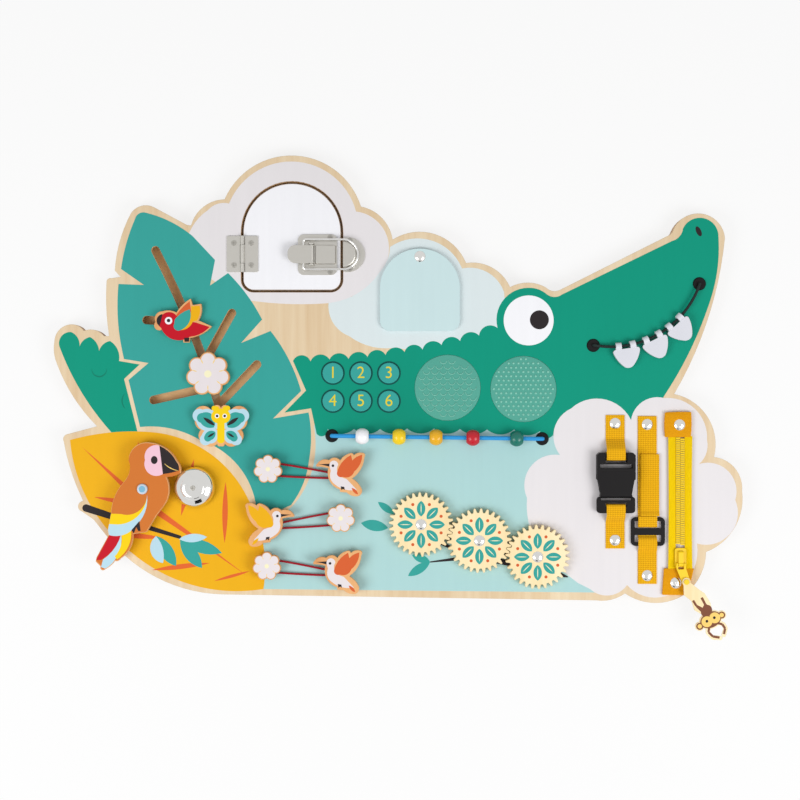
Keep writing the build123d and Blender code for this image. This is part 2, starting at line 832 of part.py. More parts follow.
def slider_part(spot, draw_figure, slope):
    """A figure over the slot, its pin down through it and the foot in the channel."""
    foot_z = face_z - slot_lip - slider_foot - 2 * run_gap
    with BuildPart() as slider:
        with BuildSketch(Plane(origin=(*spot, face_z + run_gap)), mode=Mode.PRIVATE) as figure:
            draw_figure()
        eased_plate(figure.sketch, slider_thickness, slope)
        with BuildSketch(Plane.XY.offset(foot_z)):
            with Locations(spot):
                Circle(slider_pin_radius)
        extrude(amount=face_z + run_gap - foot_z)
        with BuildSketch(Plane.XY.offset(foot_z)):
            with Locations(spot):
                Circle(slider_foot_radius)
        extrude(amount=slider_foot)
    return slider


def draw_bird():
    outline_face(bird_start, bird_steps)


def draw_butterfly():
    outline_face(butterfly_start, mirrored_steps(butterfly_start, butterfly_half))


def draw_large_flower():
    flower_face((0, 0), large_flower)


slider_figures = [
    ("bird_slider", draw_bird, 0),
    ("flower_slider", draw_large_flower, 0.6),
    ("butterfly_slider", draw_butterfly, 0),
]
for spot, (name, draw, slope) in zip(slider_spots, slider_figures):
    finish(slider_part(spot, draw, slope), name)

# ---- knobs, hummingbirds and elastic loops ------------------------------------------------
knob_z = face_z + knob_rise
humming_start = (-21.4, 9.0)
humming_steps = [
    ((-20.8, 12.0), (-17.6, 12.6)),  # beak
    (None, (-12.0, 12.6)),
    ((-7.0, 14.4), (-1.4, 12.8)),  # crown
    ((2.0, 17.4), (7.4, 18.6)),  # wing
    ((18.8, 20.6), (18.4, 11.6)),
    ((15.6, 3.6), (9.2, -2.0)),
    (None, (16.6, -14.2)),  # tail
    ((17.4, -18.4), (13.2, -18.8)),
    (None, (5.6, -15.8)),
    ((-7.2, -12.0), (-11.0, -2.4)),  # breast
    ((-12.0, 2.4), (-12.6, 6.2)),
    (None, humming_start),
]
with BuildPart() as hummingbirds:
    for spot, facing in zip(hummingbird_spots, hummingbird_facing):
        with BuildSketch(Plane(origin=(*spot, knob_z)), mode=Mode.PRIVATE) as figure:
            outline_face(humming_start, humming_steps, flip=facing)
        extrude(figure.sketch, amount=knob_thickness)
finish(hummingbirds, "hummingbirds")

with BuildPart() as fixed_flowers:
    for spot in flower_knobs:
        with BuildSketch(Plane.XY.offset(knob_z), mode=Mode.PRIVATE) as figure:
            flower_face(spot, small_flower)
        eased_plate(figure.sketch, knob_thickness)
finish(fixed_flowers, "fixed_flowers")

with BuildPart() as spacer_posts:
    with BuildSketch(face_level):
        with Locations(*flower_knobs):
            Circle(neck_radius)
        with Locations(*hummingbird_spots):
            Circle(perch_radius)
    extrude(amount=knob_rise)
    with BuildSketch(Plane.XY.offset(face_z - rivet_depth)):
        with Locations(*anchor_spots):
            Circle(anchor_radius)
    extrude(amount=knob_rise + rivet_depth)
    with BuildSketch(face_level):
        with Locations(bell_centre):
            Circle(bell_post_radius)
            Circle(screw_radius + pin_gap, mode=Mode.SUBTRACT)
    extrude(amount=bell_lift + bell_height - bell_wall)
finish(spacer_posts, "spacer_posts")

with BuildPart() as elastic_loops:
    elastic_z = face_z + knob_rise / 2
    neck_turn = neck_radius + elastic_radius + seat_gap
    anchor_turn = anchor_radius + elastic_radius + seat_gap
    for flower, anchor in zip(flower_knobs, anchor_spots):
        run = (anchor[0] - flower[0], anchor[1] - flower[1])
        heading = degrees(atan2(run[1], run[0]))
        lean = degrees(acos((neck_turn - anchor_turn) / hypot(*run)))
        leave = place(flower, neck_turn, heading + lean)
        arrive = place(anchor, anchor_turn, heading + lean)
        with BuildLine(Plane.XY.offset(elastic_z)) as loop:
            Line(leave, arrive)
            ThreePointArc(
                arrive,
                place(anchor, anchor_turn, heading),
                place(anchor, anchor_turn, heading - lean),
            )
            Line(place(anchor, anchor_turn, heading - lean), place(flower, neck_turn, heading - lean))
            ThreePointArc(
                place(flower, neck_turn, heading - lean),
                place(flower, neck_turn, heading + 180),
                leave,
            )
        course = (arrive[0] - leave[0], arrive[1] - leave[1], 0)
        with BuildSketch(Plane(origin=(*leave, elastic_z), z_dir=course)):
            Circle(elastic_radius)
        sweep(path=loop.wires()[0])
finish(elastic_loops, "elastic_loops")

# ---- parrot and bell ----------------------------------------------------------------------
parrot_z = face_z + parrot_lift
parrot_start = (31.2, 14.2)
parrot_steps = [
    ((19.4, 12.4), (19.0, 6.0)),  # chin
    ((20.6, -10.0), (11.0, -21.0)),  # chest
    (None, (1.2, -38.6)),
    (None, (-8.4, -38.6)),  # feet
    (None, (-22.6, -59.0)),  # tail
    ((-26.0, -61.6), (-27.4, -60.0)),
    (None, (-34.6, -69.6)),
    ((-39.8, -69.4), (-41.4, -64.0)),
    (None, (-31.0, -39.0)),
    ((-29.4, -14.0), (-19.0, 6.0)),  # back
    ((-17.4, 38.4), (11.0, 41.6)),  # crown
    ((27.0, 33.6), parrot_start),  # beak
]
with BuildPart() as parrot:
    with BuildSketch(Plane(origin=(*parrot_pivot, parrot_z)), mode=Mode.PRIVATE) as figure:
        outline_face(parrot_start, parrot_steps)
    extrude(figure.sketch, amount=parrot_thickness)
    with BuildSketch(Plane(origin=(*parrot_pivot, parrot_z))):
        Circle(parrot_pin_radius + pin_gap)
    extrude(amount=parrot_thickness, mode=Mode.SUBTRACT)
finish(parrot, "parrot")

with BuildPart() as parrot_pin:
    with BuildSketch(Plane(origin=(*parrot_pivot, face_z - rivet_depth))):
        Circle(parrot_pin_radius)
    extrude(amount=rivet_depth + parrot_lift + parrot_thickness + run_gap)
    with BuildSketch(Plane(origin=(*parrot_pivot, parrot_z + parrot_thickness + run_gap))):
        Circle(parrot_pin_head)
    extrude(amount=1.8)
    fillet(parrot_pin.faces().sort_by(Axis.Z)[-1].edges(), 1.4)
    with BuildSketch(Plane(origin=(*parrot_pivot, face_z))):  # spacer under the parrot
        Circle(parrot_pin_radius + 2)
    extrude(amount=parrot_lift - run_gap)
finish(parrot_pin, "parrot_pin")

with BuildPart() as bell_dome:
    bell_eye = screw_radius + pin_gap
    crown = bell_post_radius + 1
    flank = (bell_radius * 0.78, bell_height * 0.66)
    with BuildSketch(Plane(origin=(*bell_centre, bell_rim_z), x_dir=(1, 0, 0), z_dir=(0, -1, 0))):
        with BuildLine():
            ThreePointArc((crown, bell_height), flank, (bell_radius, 0))
            Line((bell_radius, 0), (bell_radius - bell_wall, 0))
            ThreePointArc(
                (bell_radius - bell_wall, 0),
                (flank[0] - 0.7 * bell_wall, flank[1] - 0.7 * bell_wall),
                (crown, bell_height - bell_wall),
            )
            Polyline(
                (crown, bell_height - bell_wall),
                (bell_eye, bell_height - bell_wall),
                (bell_eye, bell_height),
                (crown, bell_height),
            )
        make_face()
    revolve(axis=Axis((*bell_centre, 0), (0, 0, 1)))
finish(bell_dome, "bell_dome")

# ---- push buttons -------------------------------------------------------------------------
flange_z = panel_z + button_pocket - run_gap - button_flange_thickness
for number, centre in enumerate(button_centres, start=1):
    with BuildPart() as button:
        with BuildSketch(Plane(origin=(*centre, flange_z))):
            Circle(button_radius + button_flange)
        extrude(amount=button_flange_thickness)
        with BuildSketch(Plane(origin=(*centre, flange_z))):
            Circle(button_radius)
        extrude(amount=face_z + button_stand - flange_z)
        fillet(button.faces().sort_by(Axis.Z)[-1].edges(), 0.8)
    finish(button, f"button_{number}")

with BuildPart() as button_springs:
    with BuildSketch(Plane.XY.offset(back_thickness - spring_seat)):
        with Locations(*button_centres):
            Circle(spring_radius)
            Circle(spring_radius - spring_wall, mode=Mode.SUBTRACT)
    extrude(amount=flange_z - back_thickness + spring_seat)
finish(button_springs, "button_springs")

# ---- touch pads ---------------------------------------------------------------------------
with BuildPart() as touch_pads:
    with BuildSketch(Plane.XY.offset(face_z - pad_depth)):
        with Locations(*pad_centres):
            Circle(pad_radius)
    extrude(amount=pad_depth + pad_stand)
finish(touch_pads, "touch_pads")

# ---- grommets -----------------------------------------------------------------------------
with BuildPart() as cord_grommets:
    for spots, bore in (((rail_start, rail_end), rail_cord_radius), (mouth_holes, mouth_cord_radius)):
        with BuildSketch(face_level):
            with Locations(*spots):
                Circle(grommet_radius)
        extrude(amount=grommet_flange, taper=35)
        with BuildSketch(Plane.XY.offset(face_z - grommet_depth)):
            with Locations(*spots):
                Circle(grommet_barrel)
        extrude(amount=grommet_depth)
        with BuildSketch(Plane.XY.offset(face_z - grommet_depth)):
            with Locations(*spots):
                Circle(bore + pin_gap)
        extrude(amount=grommet_depth + grommet_flange, mode=Mode.SUBTRACT)
finish(cord_grommets, "cord_grommets")

# ---- bead rail ----------------------------------------------------------------------------
cord_foot = panel_z + seat_gap
with BuildPart() as abacus_cord:
    with BuildLine(rail_plane) as rail_path:
        FilletPolyline(
            (0, cord_foot),
            (0, rail_z),
            (rail_length, rail_z),
            (rail_length, cord_foot),
            radius=rail_bend,
        )
    with BuildSketch(Plane(origin=(*rail_start, cord_foot))):
        Circle(rail_cord_radius)
    sweep(path=rail_path.wires()[0])
finish(abacus_cord, "abacus_cord")

for number, along in enumerate(bead_places, start=1):
    with BuildPart() as bead:
        bead_at = rail_plane.from_local_coords((along, rail_z, 0))
        with BuildSketch(Plane(origin=bead_at, x_dir=rail_plane.x_dir, z_dir=rail_plane.z_dir)):
            with BuildLine():
                rim = (bead_radius**2 - bead_flat**2) ** 0.5
                ThreePointArc((-bead_flat, rim), (0, bead_radius), (bead_flat, rim))
                Line((bead_flat, rim), (bead_flat, rail_cord_radius + bead_gap))
                Line(
                    (bead_flat, rail_cord_radius + bead_gap),
                    (-bead_flat, rail_cord_radius + bead_gap),
                )
                Line((-bead_flat, rail_cord_radius + bead_gap), (-bead_flat, rim))
            make_face()
        revolve(axis=Axis(bead_at, rail_plane.x_dir))
    finish(bead, f"bead_{number}")

# ---- mouth cord and teeth -----------------------------------------------------------------
with BuildPart() as mouth_cord:
    near = 1 - cos(radians(45))
    with BuildLine() as mouth_path:
        for joint, hole in mouth_drops:
            way = (joint[0] - hole[0], joint[1] - hole[1])
            Line((*hole, cord_foot), (*hole, mouth_z - mouth_bend))
            ThreePointArc(
                (*hole, mouth_z - mouth_bend),
                (hole[0] + way[0] * near, hole[1] + way[1] * near, mouth_z - mouth_bend * near),
                (*joint, mouth_z),
            )
        ThreePointArc(
            (*mouth_drops[0][0], mouth_z),
            (*place(mouth_centre, mouth_radius, (mouth_angle_start + mouth_angle_end) / 2), mouth_z),
            (*mouth_drops[1][0], mouth_z),
        )
    with BuildSketch(Plane(origin=(*mouth_holes[0], cord_foot))):
        Circle(mouth_cord_radius)
    sweep(path=mouth_path.wires()[0])
finish(mouth_cord, "mouth_cord")

tooth_start = (mouth_radius + 2.4, -tooth_half_width + 1.6)
tooth_steps = [
    ((mouth_radius + 3.4, -tooth_half_width + 0.2), (mouth_radius + 5.6, -tooth_half_width)),
    ((mouth_radius + 12.0, -8.6), (mouth_radius + tooth_depth + 1.2, -4.4)),
    ((mouth_radius + tooth_depth + 3.2, 0), (mouth_radius + tooth_depth + 1.2, 4.4)),
    ((mouth_radius + 12.0, 8.6), (mouth_radius + 5.6, tooth_half_width)),
    ((mouth_radius + 3.4, tooth_half_width - 0.2), (mouth_radius + 2.4, tooth_half_width - 1.6)),
    (None, tooth_start),
]
for number, angle in enumerate(tooth_angles, start=1):
    out = (cos(radians(angle)), sin(radians(angle)), 0)
    with BuildPart() as tooth:
        plate_z = mouth_z - tooth_thickness / 2
        with BuildSketch(Plane(origin=(*mouth_centre, plate_z), x_dir=out, z_dir=(0, 0, 1))):
            outline_face(tooth_start, tooth_steps)
        extrude(amount=tooth_thickness)
        for side in (-1, 1):
            turn = angle + side * tooth_loop_spread - tooth_loop_arc / 2
            edge = (cos(radians(turn)), sin(radians(turn)), 0)
            face_way = (-edge[1], edge[0], 0)
            ring_plane = Plane(origin=(*mouth_centre, mouth_z), x_dir=edge, z_dir=face_way)
            with BuildSketch(ring_plane):
                with Locations((mouth_radius, 0)):
                    Circle(tooth_loop_outer)
                    Circle(mouth_cord_radius + bead_gap, mode=Mode.SUBTRACT)
            revolve(axis=Axis((*mouth_centre, 0), (0, 0, 1)), revolution_arc=tooth_loop_arc)
    finish(tooth, f"tooth_{number}")

# ---- gears --------------------------------------------------------------------------------
pitch_radius = gear_spacing / 2
tooth_root = pitch_radius - 1.15 * gear_module
tooth_tip = pitch_radius + 0.95 * gear_module
tooth_pitch = gear_module * 3.14159
for number, centre in enumerate(gear_centres, start=1):
    phase = gear_line + (180 / gear_teeth if number == 2 else 0)
    with BuildPart() as gear:
        with BuildSketch(Plane(origin=(*centre, gear_z))):
            Circle(tooth_root)
            with PolarLocations(0, gear_teeth, start_angle=phase):
                foot_half = (tooth_pitch - gear_backlash) * 0.36
                tip_half = (tooth_pitch - gear_backlash) * 0.14
                Polygon(
                    (tooth_root - 0.4, -foot_half),
                    (tooth_tip, -tip_half),
                    (tooth_tip, tip_half),
                    (tooth_root - 0.4, foot_half),
                    align=None,
                )
            Circle(rivet_shank + pin_gap, mode=Mode.SUBTRACT)
        extrude(amount=gear_thickness)
        with BuildSketch(Plane(origin=(*centre, face_z + run_gap))):  # boss under the gear
            Circle(gear_hub)
            Circle(rivet_shank + pin_gap, mode=Mode.SUBTRACT)
        extrude(amount=gear_lift - run_gap)
    finish(gear, f"gear_{number}")

# ---- straps -------------------------------------------------------------------------------
def band(x, width, points, radius=0.7):
    """A strap of webbing: its side view follows the points, given as (y, z)."""
    with BuildSketch(Plane.YZ.offset(x - width / 2), mode=Mode.PRIVATE) as side_view:
        with BuildLine():
            FilletPolyline(*points, radius=radius)
        trace(line_width=webbing)
    extrude(side_view.sketch, amount=width)


def rivet_hole(x, y):
    """Cut a strap's rivet hole."""
    with BuildSketch(Plane(origin=(x, y, face_z)), mode=Mode.PRIVATE) as hole:
        Circle(rivet_shank + pin_gap)
    extrude(hole.sketch, amount=2 * webbing, mode=Mode.SUBTRACT)


def slab(x, y_low, y_high, half_width, z_low, z_high, mode=Mode.ADD):
    """A plain block across a strap, for bars, windows and cavities."""
    with BuildSketch(Plane.XY.offset(z_low), mode=Mode.PRIVATE) as block:
        with Locations((x, (y_low + y_high) / 2)):
            Rectangle(2 * half_width, y_high - y_low)
    extrude(block.sketch, amount=z_high - z_low, mode=mode)


strap_mid = strap_z + webbing / 2
buckle_z = face_z + 2 * run_gap
buckle_mid = buckle_z + buckle_thickness / 2
buckle_top = buckle_z + buckle_thickness
socket_top, socket_foot, plug_foot = buckle_ends
window_half = webbing_width / 2 + 1.3
over_z = buckle_mid + bar_half + seat_gap + webbing / 2
under_z = buckle_mid - bar_half - seat_gap - webbing / 2
window_y = socket_top - end_bar - buckle_window / 2
with BuildPart() as buckle_strap_upper:
    band(
        buckle_x,
        webbing_width,
        [
            (buckle_rivets[0] + strap_over, strap_mid),
            (socket_top + 12, strap_mid),
            (socket_top + 3, over_z),
            (window_y + 0.6, over_z),
            (window_y - 0.4, under_z),
            (socket_top + 0.5, under_z),
        ],
    )
    rivet_hole(buckle_x, buckle_rivets[0])
finish(buckle_strap_upper, "buckle_strap_upper")

plug_window_y = plug_foot + plug_bar + plug_window / 2
plug_over = buckle_mid + plug_thickness / 2 + seat_gap + webbing / 2
plug_under = buckle_mid - plug_thickness / 2 - seat_gap - webbing / 2
with BuildPart() as buckle_strap_lower:
    band(
        buckle_x,
        webbing_width,
        [
            (buckle_rivets[1] - strap_over, strap_mid),
            (plug_foot - 8, strap_mid),
            (plug_foot - 2, plug_over),
            (plug_window_y - 0.6, plug_over),
            (plug_window_y + 0.4, plug_under),
            (plug_foot + 1.5, plug_under),
        ],
    )
    rivet_hole(buckle_x, buckle_rivets[1])
finish(buckle_strap_lower, "buckle_strap_lower")

# ---- side-release buckle ------------------------------------------------------------------
cavity_half = prong_outer + run_gap
with BuildPart() as buckle_socket:
    with BuildSketch(Plane.XY.offset(buckle_z), mode=Mode.PRIVATE) as socket_shape:
        with Locations((buckle_x, 0)):
            Polygon(
                (-buckle_half_width + 2.1, socket_top),
                (buckle_half_width - 2.1, socket_top),
                (buckle_half_width, socket_top - 2.1),
                (buckle_half_width, socket_step),
                (buckle_half_width - 1.1, socket_step - 1),
                (buckle_waist, socket_foot + 2),
                (buckle_waist + 0.6, socket_foot),
                (-buckle_waist - 0.6, socket_foot),
                (-buckle_waist, socket_foot + 2),
                (-buckle_half_width + 1.1, socket_step - 1),
                (-buckle_half_width, socket_step),
                (-buckle_half_width, socket_top - 2.1),
                align=None,
            )
    extrude(socket_shape.sketch, amount=buckle_thickness)
    slab(  # webbing window
        buckle_x,
        socket_top - end_bar - buckle_window,
        socket_top - end_bar,
        window_half,
        buckle_z,
        buckle_top,
        Mode.SUBTRACT,
    )
    for z_low, z_high in (
        (buckle_z, buckle_mid - bar_half),
        (buckle_mid + bar_half, buckle_top),
    ):  # the end bar is thinner than the body
        slab(
            buckle_x, socket_top - end_bar, socket_top, window_half, z_low, z_high, Mode.SUBTRACT
        )
    slab(  # see-through slot
        buckle_x, socket_slot - 3.5, socket_slot, socket_slot_half, buckle_z, buckle_top, Mode.SUBTRACT
    )
    slab(
        buckle_x,
        socket_foot,
        socket_foot + socket_depth,
        cavity_half,
        buckle_mid - cavity_rise,
        buckle_mid + cavity_rise,
        Mode.SUBTRACT,
    )
    for side in (-1, 1):  # windows for the prongs' lugs
        slab(
            buckle_x + side * (cavity_half + 4),
            lug_low - 1,
            lug_high + 1,
            4.2,
            buckle_mid - cavity_rise,
            buckle_mid + cavity_rise,
            Mode.SUBTRACT,
        )
finish(buckle_socket, "buckle_socket")

plug_z = buckle_mid - plug_thickness / 2
plug_top_y = socket_foot - run_gap
with BuildPart() as buckle_plug:
    with BuildSketch(Plane.XY.offset(plug_z), mode=Mode.PRIVATE) as plug_shape:
        with Locations((buckle_x, (plug_top_y + plug_foot) / 2)):
            RectangleRounded(2 * buckle_half_width, plug_top_y - plug_foot, 3)
    eased_plate(plug_shape.sketch, plug_thickness)
    slab(
        buckle_x,
        plug_foot + plug_bar,
        plug_foot + plug_bar + plug_window,
        window_half,
        plug_z,
        plug_z + plug_thickness,
        Mode.SUBTRACT,
    )
    slab(
        buckle_x,
        plug_top_y - 3.4,
        plug_top_y - 1.3,
        plug_slot_half,
        plug_z,
        plug_z + plug_thickness,
        Mode.SUBTRACT,
    )
    slab(
        buckle_x,
        plug_top_y,
        socket_foot + socket_depth - 4,
        tongue_half,
        plug_z,
        plug_z + plug_thickness,
    )
finish(buckle_plug, "buckle_plug")

with BuildPart() as buckle_prongs:
    with BuildSketch(Plane.XY.offset(plug_z)):
        for side in (-1, 1):
            with Locations((buckle_x, 0)):
                Polygon(
                    (side * (prong_outer - prong_width), plug_top_y),
                    (side * prong_outer, plug_top_y),
                    (side * prong_outer, lug_low),
                    (side * prong_lug, lug_low + 0.8),
                    (side * prong_lug, lug_low + 4.6),
                    (side * (prong_outer - 0.4), lug_high - 0.5),
                    (side * (prong_outer - prong_width), lug_high),
                    align=None,
                )
    extrude(amount=plug_thickness)
finish(buckle_prongs, "buckle_prongs")

# ---- grip strap with its ladder ring ------------------------------------------------------
ring_z = face_z + run_gap
bar_z = face_z + ring_lift
ring_top_z = ring_z + ring_thickness
ring_over = ring_top_z + seat_gap + webbing / 2 + 0.1
ring_upper = ring_y + ring_height / 2
ring_lower = ring_y - ring_height / 2
middle_upper = ring_y + ring_middle / 2
middle_lower = ring_y - ring_middle / 2
with BuildPart() as strap_ring:
    with BuildSketch(Plane.XY.offset(ring_z), mode=Mode.PRIVATE) as ring_shape:
        with Locations((ring_x, ring_y)):
            RectangleRounded(ring_width, ring_height, 4)
    eased_plate(ring_shape.sketch, ring_thickness)
    for y_low, y_high in (
        (middle_upper, ring_upper - ring_bar),
        (ring_lower + ring_bar, middle_lower),
    ):
        slab(
            ring_x, y_low, y_high, ring_width / 2 - ring_bar, ring_z, ring_top_z, Mode.SUBTRACT
        )
    slab(
        ring_x, ring_lower, ring_upper, ring_width / 2 - ring_bar, ring_z, bar_z, Mode.SUBTRACT
    )
finish(strap_ring, "strap_ring")

with BuildPart() as grip_strap_upper:
    band(
        strap_x,
        webbing_width,
        [
            (strap_rivets[0] + strap_over, strap_mid),
            (middle_upper + 0.9, strap_mid),
            (middle_upper + 1.5, ring_over),
            (ring_upper + 0.8, ring_over),
        ],
    )
    rivet_hole(strap_x, strap_rivets[0])
finish(grip_strap_upper, "grip_strap_upper")

flap_mid = strap_z + webbing + run_gap + webbing / 2
with BuildPart() as grip_flap:
    band(
        strap_x + flap_shift,
        webbing_width,
        [
            (ring_upper + 0.8 + run_gap, ring_over),
            (ring_upper + 2.6, ring_over),
            (ring_upper + 5.2, flap_mid),
            (strap_flap_end, flap_mid),
        ],
    )
finish(grip_flap, "grip_flap")

with BuildPart() as grip_strap_lower:
    band(
        strap_x,
        webbing_width,
        [
            (strap_rivets[1] - strap_over, strap_mid),
            (ring_lower - 5, strap_mid),
            (ring_lower - 1.4, ring_over),
            (middle_lower - 3.4, ring_over),
            (middle_lower - 1.0, strap_mid),
            (middle_upper - 0.6, strap_mid),
        ],
    )
    rivet_hole(strap_x, strap_rivets[1])
finish(grip_strap_lower, "grip_strap_lower")

# ---- zip ----------------------------------------------------------------------------------
cover_z = face_z + seat_gap
tape_mid = zip_tape_z + zip_tape_thickness / 2
cover_low = zip_cover_corners[0][1]
with BuildPart() as zip_tape:
    with BuildSketch(Plane.XY.offset(cover_z)):
        with Locations((zip_cover_x, (zip_cover_top[0] + zip_cover_top[1]) / 2)):
            RectangleRounded(zip_cover_width, zip_cover_top[0] - zip_cover_top[1], 1)
        Polygon(*zip_cover_corners, align=None)
        with Locations(*zip_rivets):
            Circle(rivet_shank + pin_gap, mode=Mode.SUBTRACT)
    extrude(amount=zip_cover_thickness)
    for side in (-1, 1):
        middle = side * (zip_tape_half + zip_tooth_half + pin_gap) / 2
        half = (zip_tape_half - zip_tooth_half - pin_gap) / 2
        slab(
            zip_x + middle,
            cover_low - 1,
            zip_cover_top[1] + 1,
            half,
            zip_tape_z,
            zip_tape_z + zip_tape_thickness,
        )
finish(zip_tape, "zip_tape")

tooth_rows = int((zip_cover_top[1] - zip_slider_ends[0]) / zip_tooth_pitch)
with BuildPart() as zip_teeth:
    with BuildSketch(Plane.XY.offset(tape_mid - zip_tooth_height / 2)):
        for side in (-1, 1):
            shift = zip_tooth_pitch / 2 * (side > 0)
            rows = [
                (
                    zip_x + side * (zip_tooth_half + 0.1) / 2,
                    zip_cover_top[1] - 1 - i * zip_tooth_pitch - shift,
                )
                for i in range(tooth_rows - 1)
            ]
            with Locations(*rows):
                Rectangle(zip_tooth_half - 0.1, zip_tooth_width)
    extrude(amount=zip_tooth_height)
finish(zip_teeth, "zip_teeth")

slider_mid_y = (zip_slider_ends[0] + zip_slider_ends[1]) / 2
slider_length = zip_slider_ends[0] - zip_slider_ends[1]
slider_low = face_z + run_gap
slider_high = tape_mid + zip_tooth_height / 2 + run_gap
slider_top = slider_high + zip_slider_plate
flange_in = zip_slider_half - 0.9
zip_pivot_z = slider_top + zip_lug_radius + 0.1
with BuildPart() as zip_slider:
    for z in (slider_low, slider_high):
        with BuildSketch(Plane.XY.offset(z)):
            with Locations((zip_x, slider_mid_y)):
                RectangleRounded(2 * zip_slider_half, slider_length, 2.5)
        extrude(amount=zip_slider_plate)
    for side in (-1, 1):
        x = zip_x + side * (zip_slider_half + flange_in) / 2
        ends = (zip_slider_ends[1] + 2.5, zip_slider_ends[0] - 2.5)
        tape_low = zip_tape_z - run_gap
        tape_high = zip_tape_z + zip_tape_thickness + run_gap
        slab(x, *ends, 0.45, slider_low, tape_low)
        slab(x, *ends, 0.45, tape_high, slider_top)
    slab(zip_x, zip_slider_ends[1] + 0.5, zip_slider_ends[1] + 3.5, 1.5, slider_low, slider_top)
    bridge_end = zip_slider_ends[0] - 2.5
    slab(zip_x, zip_pivot_y, bridge_end, zip_lug_half, slider_top, zip_pivot_z + 1)
    fillet(
        zip_slider.faces().sort_by(Axis.Z)[-1].edges().sort_by(Axis.Y)[-1], 1.6
    )
    with BuildSketch(Plane.YZ.offset(zip_x - zip_lug_half)):
        with Locations((zip_pivot_y, zip_pivot_z)):
            Circle(zip_lug_radius)
    extrude(amount=2 * zip_lug_half)
    with BuildSketch(Plane.YZ.offset(zip_x - pull_half_width)):
        with Locations((zip_pivot_y, zip_pivot_z)):
            Circle(zip_pin_radius)
    extrude(amount=2 * pull_half_width)
finish(zip_slider, "zip_slider")

pull_z = zip_pivot_z - pull_thickness / 2
pull_run = (tag_spot[0] - zip_x, tag_spot[1] - zip_pivot_y)
tag_z = pull_z + pull_thickness + run_gap
with BuildPart() as zip_pull:
    with BuildSketch(Plane(origin=(zip_x, zip_pivot_y, pull_z))):
        Polygon(
            (-pull_half_width, 0),
            (pull_half_width, 0),
            (pull_half_width, -3),
            (pull_run[0] + 3.8, pull_run[1]),
            (pull_run[0] - 3.8, pull_run[1]),
            (-pull_half_width, -3),
            align=None,
        )
        with Locations(pull_run):
            Circle(3.8)
        with Locations((0, -pull_notch / 2 + zip_lug_radius + run_gap)):
            Rectangle(2 * (zip_lug_half + run_gap), pull_notch, mode=Mode.SUBTRACT)
    extrude(amount=pull_thickness)
    for side in (-1, 1):
        inner = zip_x + side * (zip_lug_half + pull_half_width + run_gap) / 2
        thick = pull_half_width - zip_lug_half - run_gap
        with BuildSketch(Plane.YZ.offset(inner - thick / 2)):
            with Locations((zip_pivot_y, zip_pivot_z)):
                Circle(pull_eye_radius)
        extrude(amount=thick)
        with BuildSketch(Plane.YZ.offset(inner - thick / 2)):
            with Locations((zip_pivot_y, zip_pivot_z)):
                Circle(zip_pin_radius + pin_gap)
        extrude(amount=thick, mode=Mode.SUBTRACT)
    with BuildSketch(Plane(origin=(*tag_spot, pull_z))):
        Circle(tag_pin_radius)
    extrude(amount=pull_thickness + tag_thickness + 2 * run_gap)
    with BuildSketch(Plane(origin=(*tag_spot, tag_z + tag_thickness + run_gap))):
        Circle(tag_pin_radius + 0.9)
    extrude(amount=0.8)
finish(zip_pull, "zip_pull")

with BuildPart() as zip_tag:
    with BuildSketch(Plane(origin=(*tag_spot, tag_z)), mode=Mode.PRIVATE) as tag_shape:
        Circle(3.6)
        Polygon(*tag_body, align=None)
        with Locations(tag_head):
            Ellipse(10.4, 7.6, rotation=tag_head_turn)
        with Locations(*tag_ears):
            Circle(3.8)
        for arm in tag_arms:
            with BuildLine():
                FilletPolyline(*arm, radius=2.4)
            trace(line_width=tag_arm_width)
            with Locations(arm[-1]):
                Circle(tag_arm_width / 2)
        Circle(tag_pin_radius + pin_gap, mode=Mode.SUBTRACT)
    extrude(tag_shape.sketch, amount=tag_thickness)
finish(zip_tag, "zip_tag")
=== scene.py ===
from math import atan2, cos, dist, hypot, pi, radians, sin, sqrt

import bpy
from mathutils import Matrix, Vector


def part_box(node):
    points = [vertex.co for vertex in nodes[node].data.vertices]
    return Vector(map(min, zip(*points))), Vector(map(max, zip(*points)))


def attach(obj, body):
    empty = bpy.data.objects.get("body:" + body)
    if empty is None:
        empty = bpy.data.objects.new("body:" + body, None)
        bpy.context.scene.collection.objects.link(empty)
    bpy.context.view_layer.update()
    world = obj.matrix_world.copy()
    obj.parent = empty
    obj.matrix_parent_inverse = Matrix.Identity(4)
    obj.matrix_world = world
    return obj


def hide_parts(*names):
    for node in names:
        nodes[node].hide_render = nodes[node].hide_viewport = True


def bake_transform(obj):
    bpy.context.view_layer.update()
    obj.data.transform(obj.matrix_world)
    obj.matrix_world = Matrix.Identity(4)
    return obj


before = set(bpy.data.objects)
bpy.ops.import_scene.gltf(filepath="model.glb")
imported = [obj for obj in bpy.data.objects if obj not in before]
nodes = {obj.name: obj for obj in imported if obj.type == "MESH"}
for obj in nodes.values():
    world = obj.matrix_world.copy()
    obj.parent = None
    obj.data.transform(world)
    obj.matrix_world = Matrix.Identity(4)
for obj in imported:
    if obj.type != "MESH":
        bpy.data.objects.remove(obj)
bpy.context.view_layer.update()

scene = bpy.context.scene

mm = 0.001
grid = 0.872  # step of the drawing grid in mm, X to the right and Y down
origin = (398, 379)  # the frame's origin on that grid
faceTop = 13.0  # board's face, mm above its back
film = 0.02  # a layer of print
tops = dict(slider=18.3, knob=23, parrot=24, gear=20, tag=22)  # the figures' faces
viewPlan = dict(x=0.0017, y=-0.0183, height=1.4, seen=0.6976)  # camera above the face, the width it sees


def onBoard(x, y):
    return ((x - origin[0]) * grid, (origin[1] - y) * grid)


def plain(x, y):  # a place that is in mm already
    return (x, y)


def polar(spot, radius, angle):
    return (spot[0] + radius * cos(angle), spot[1] + radius * sin(angle))


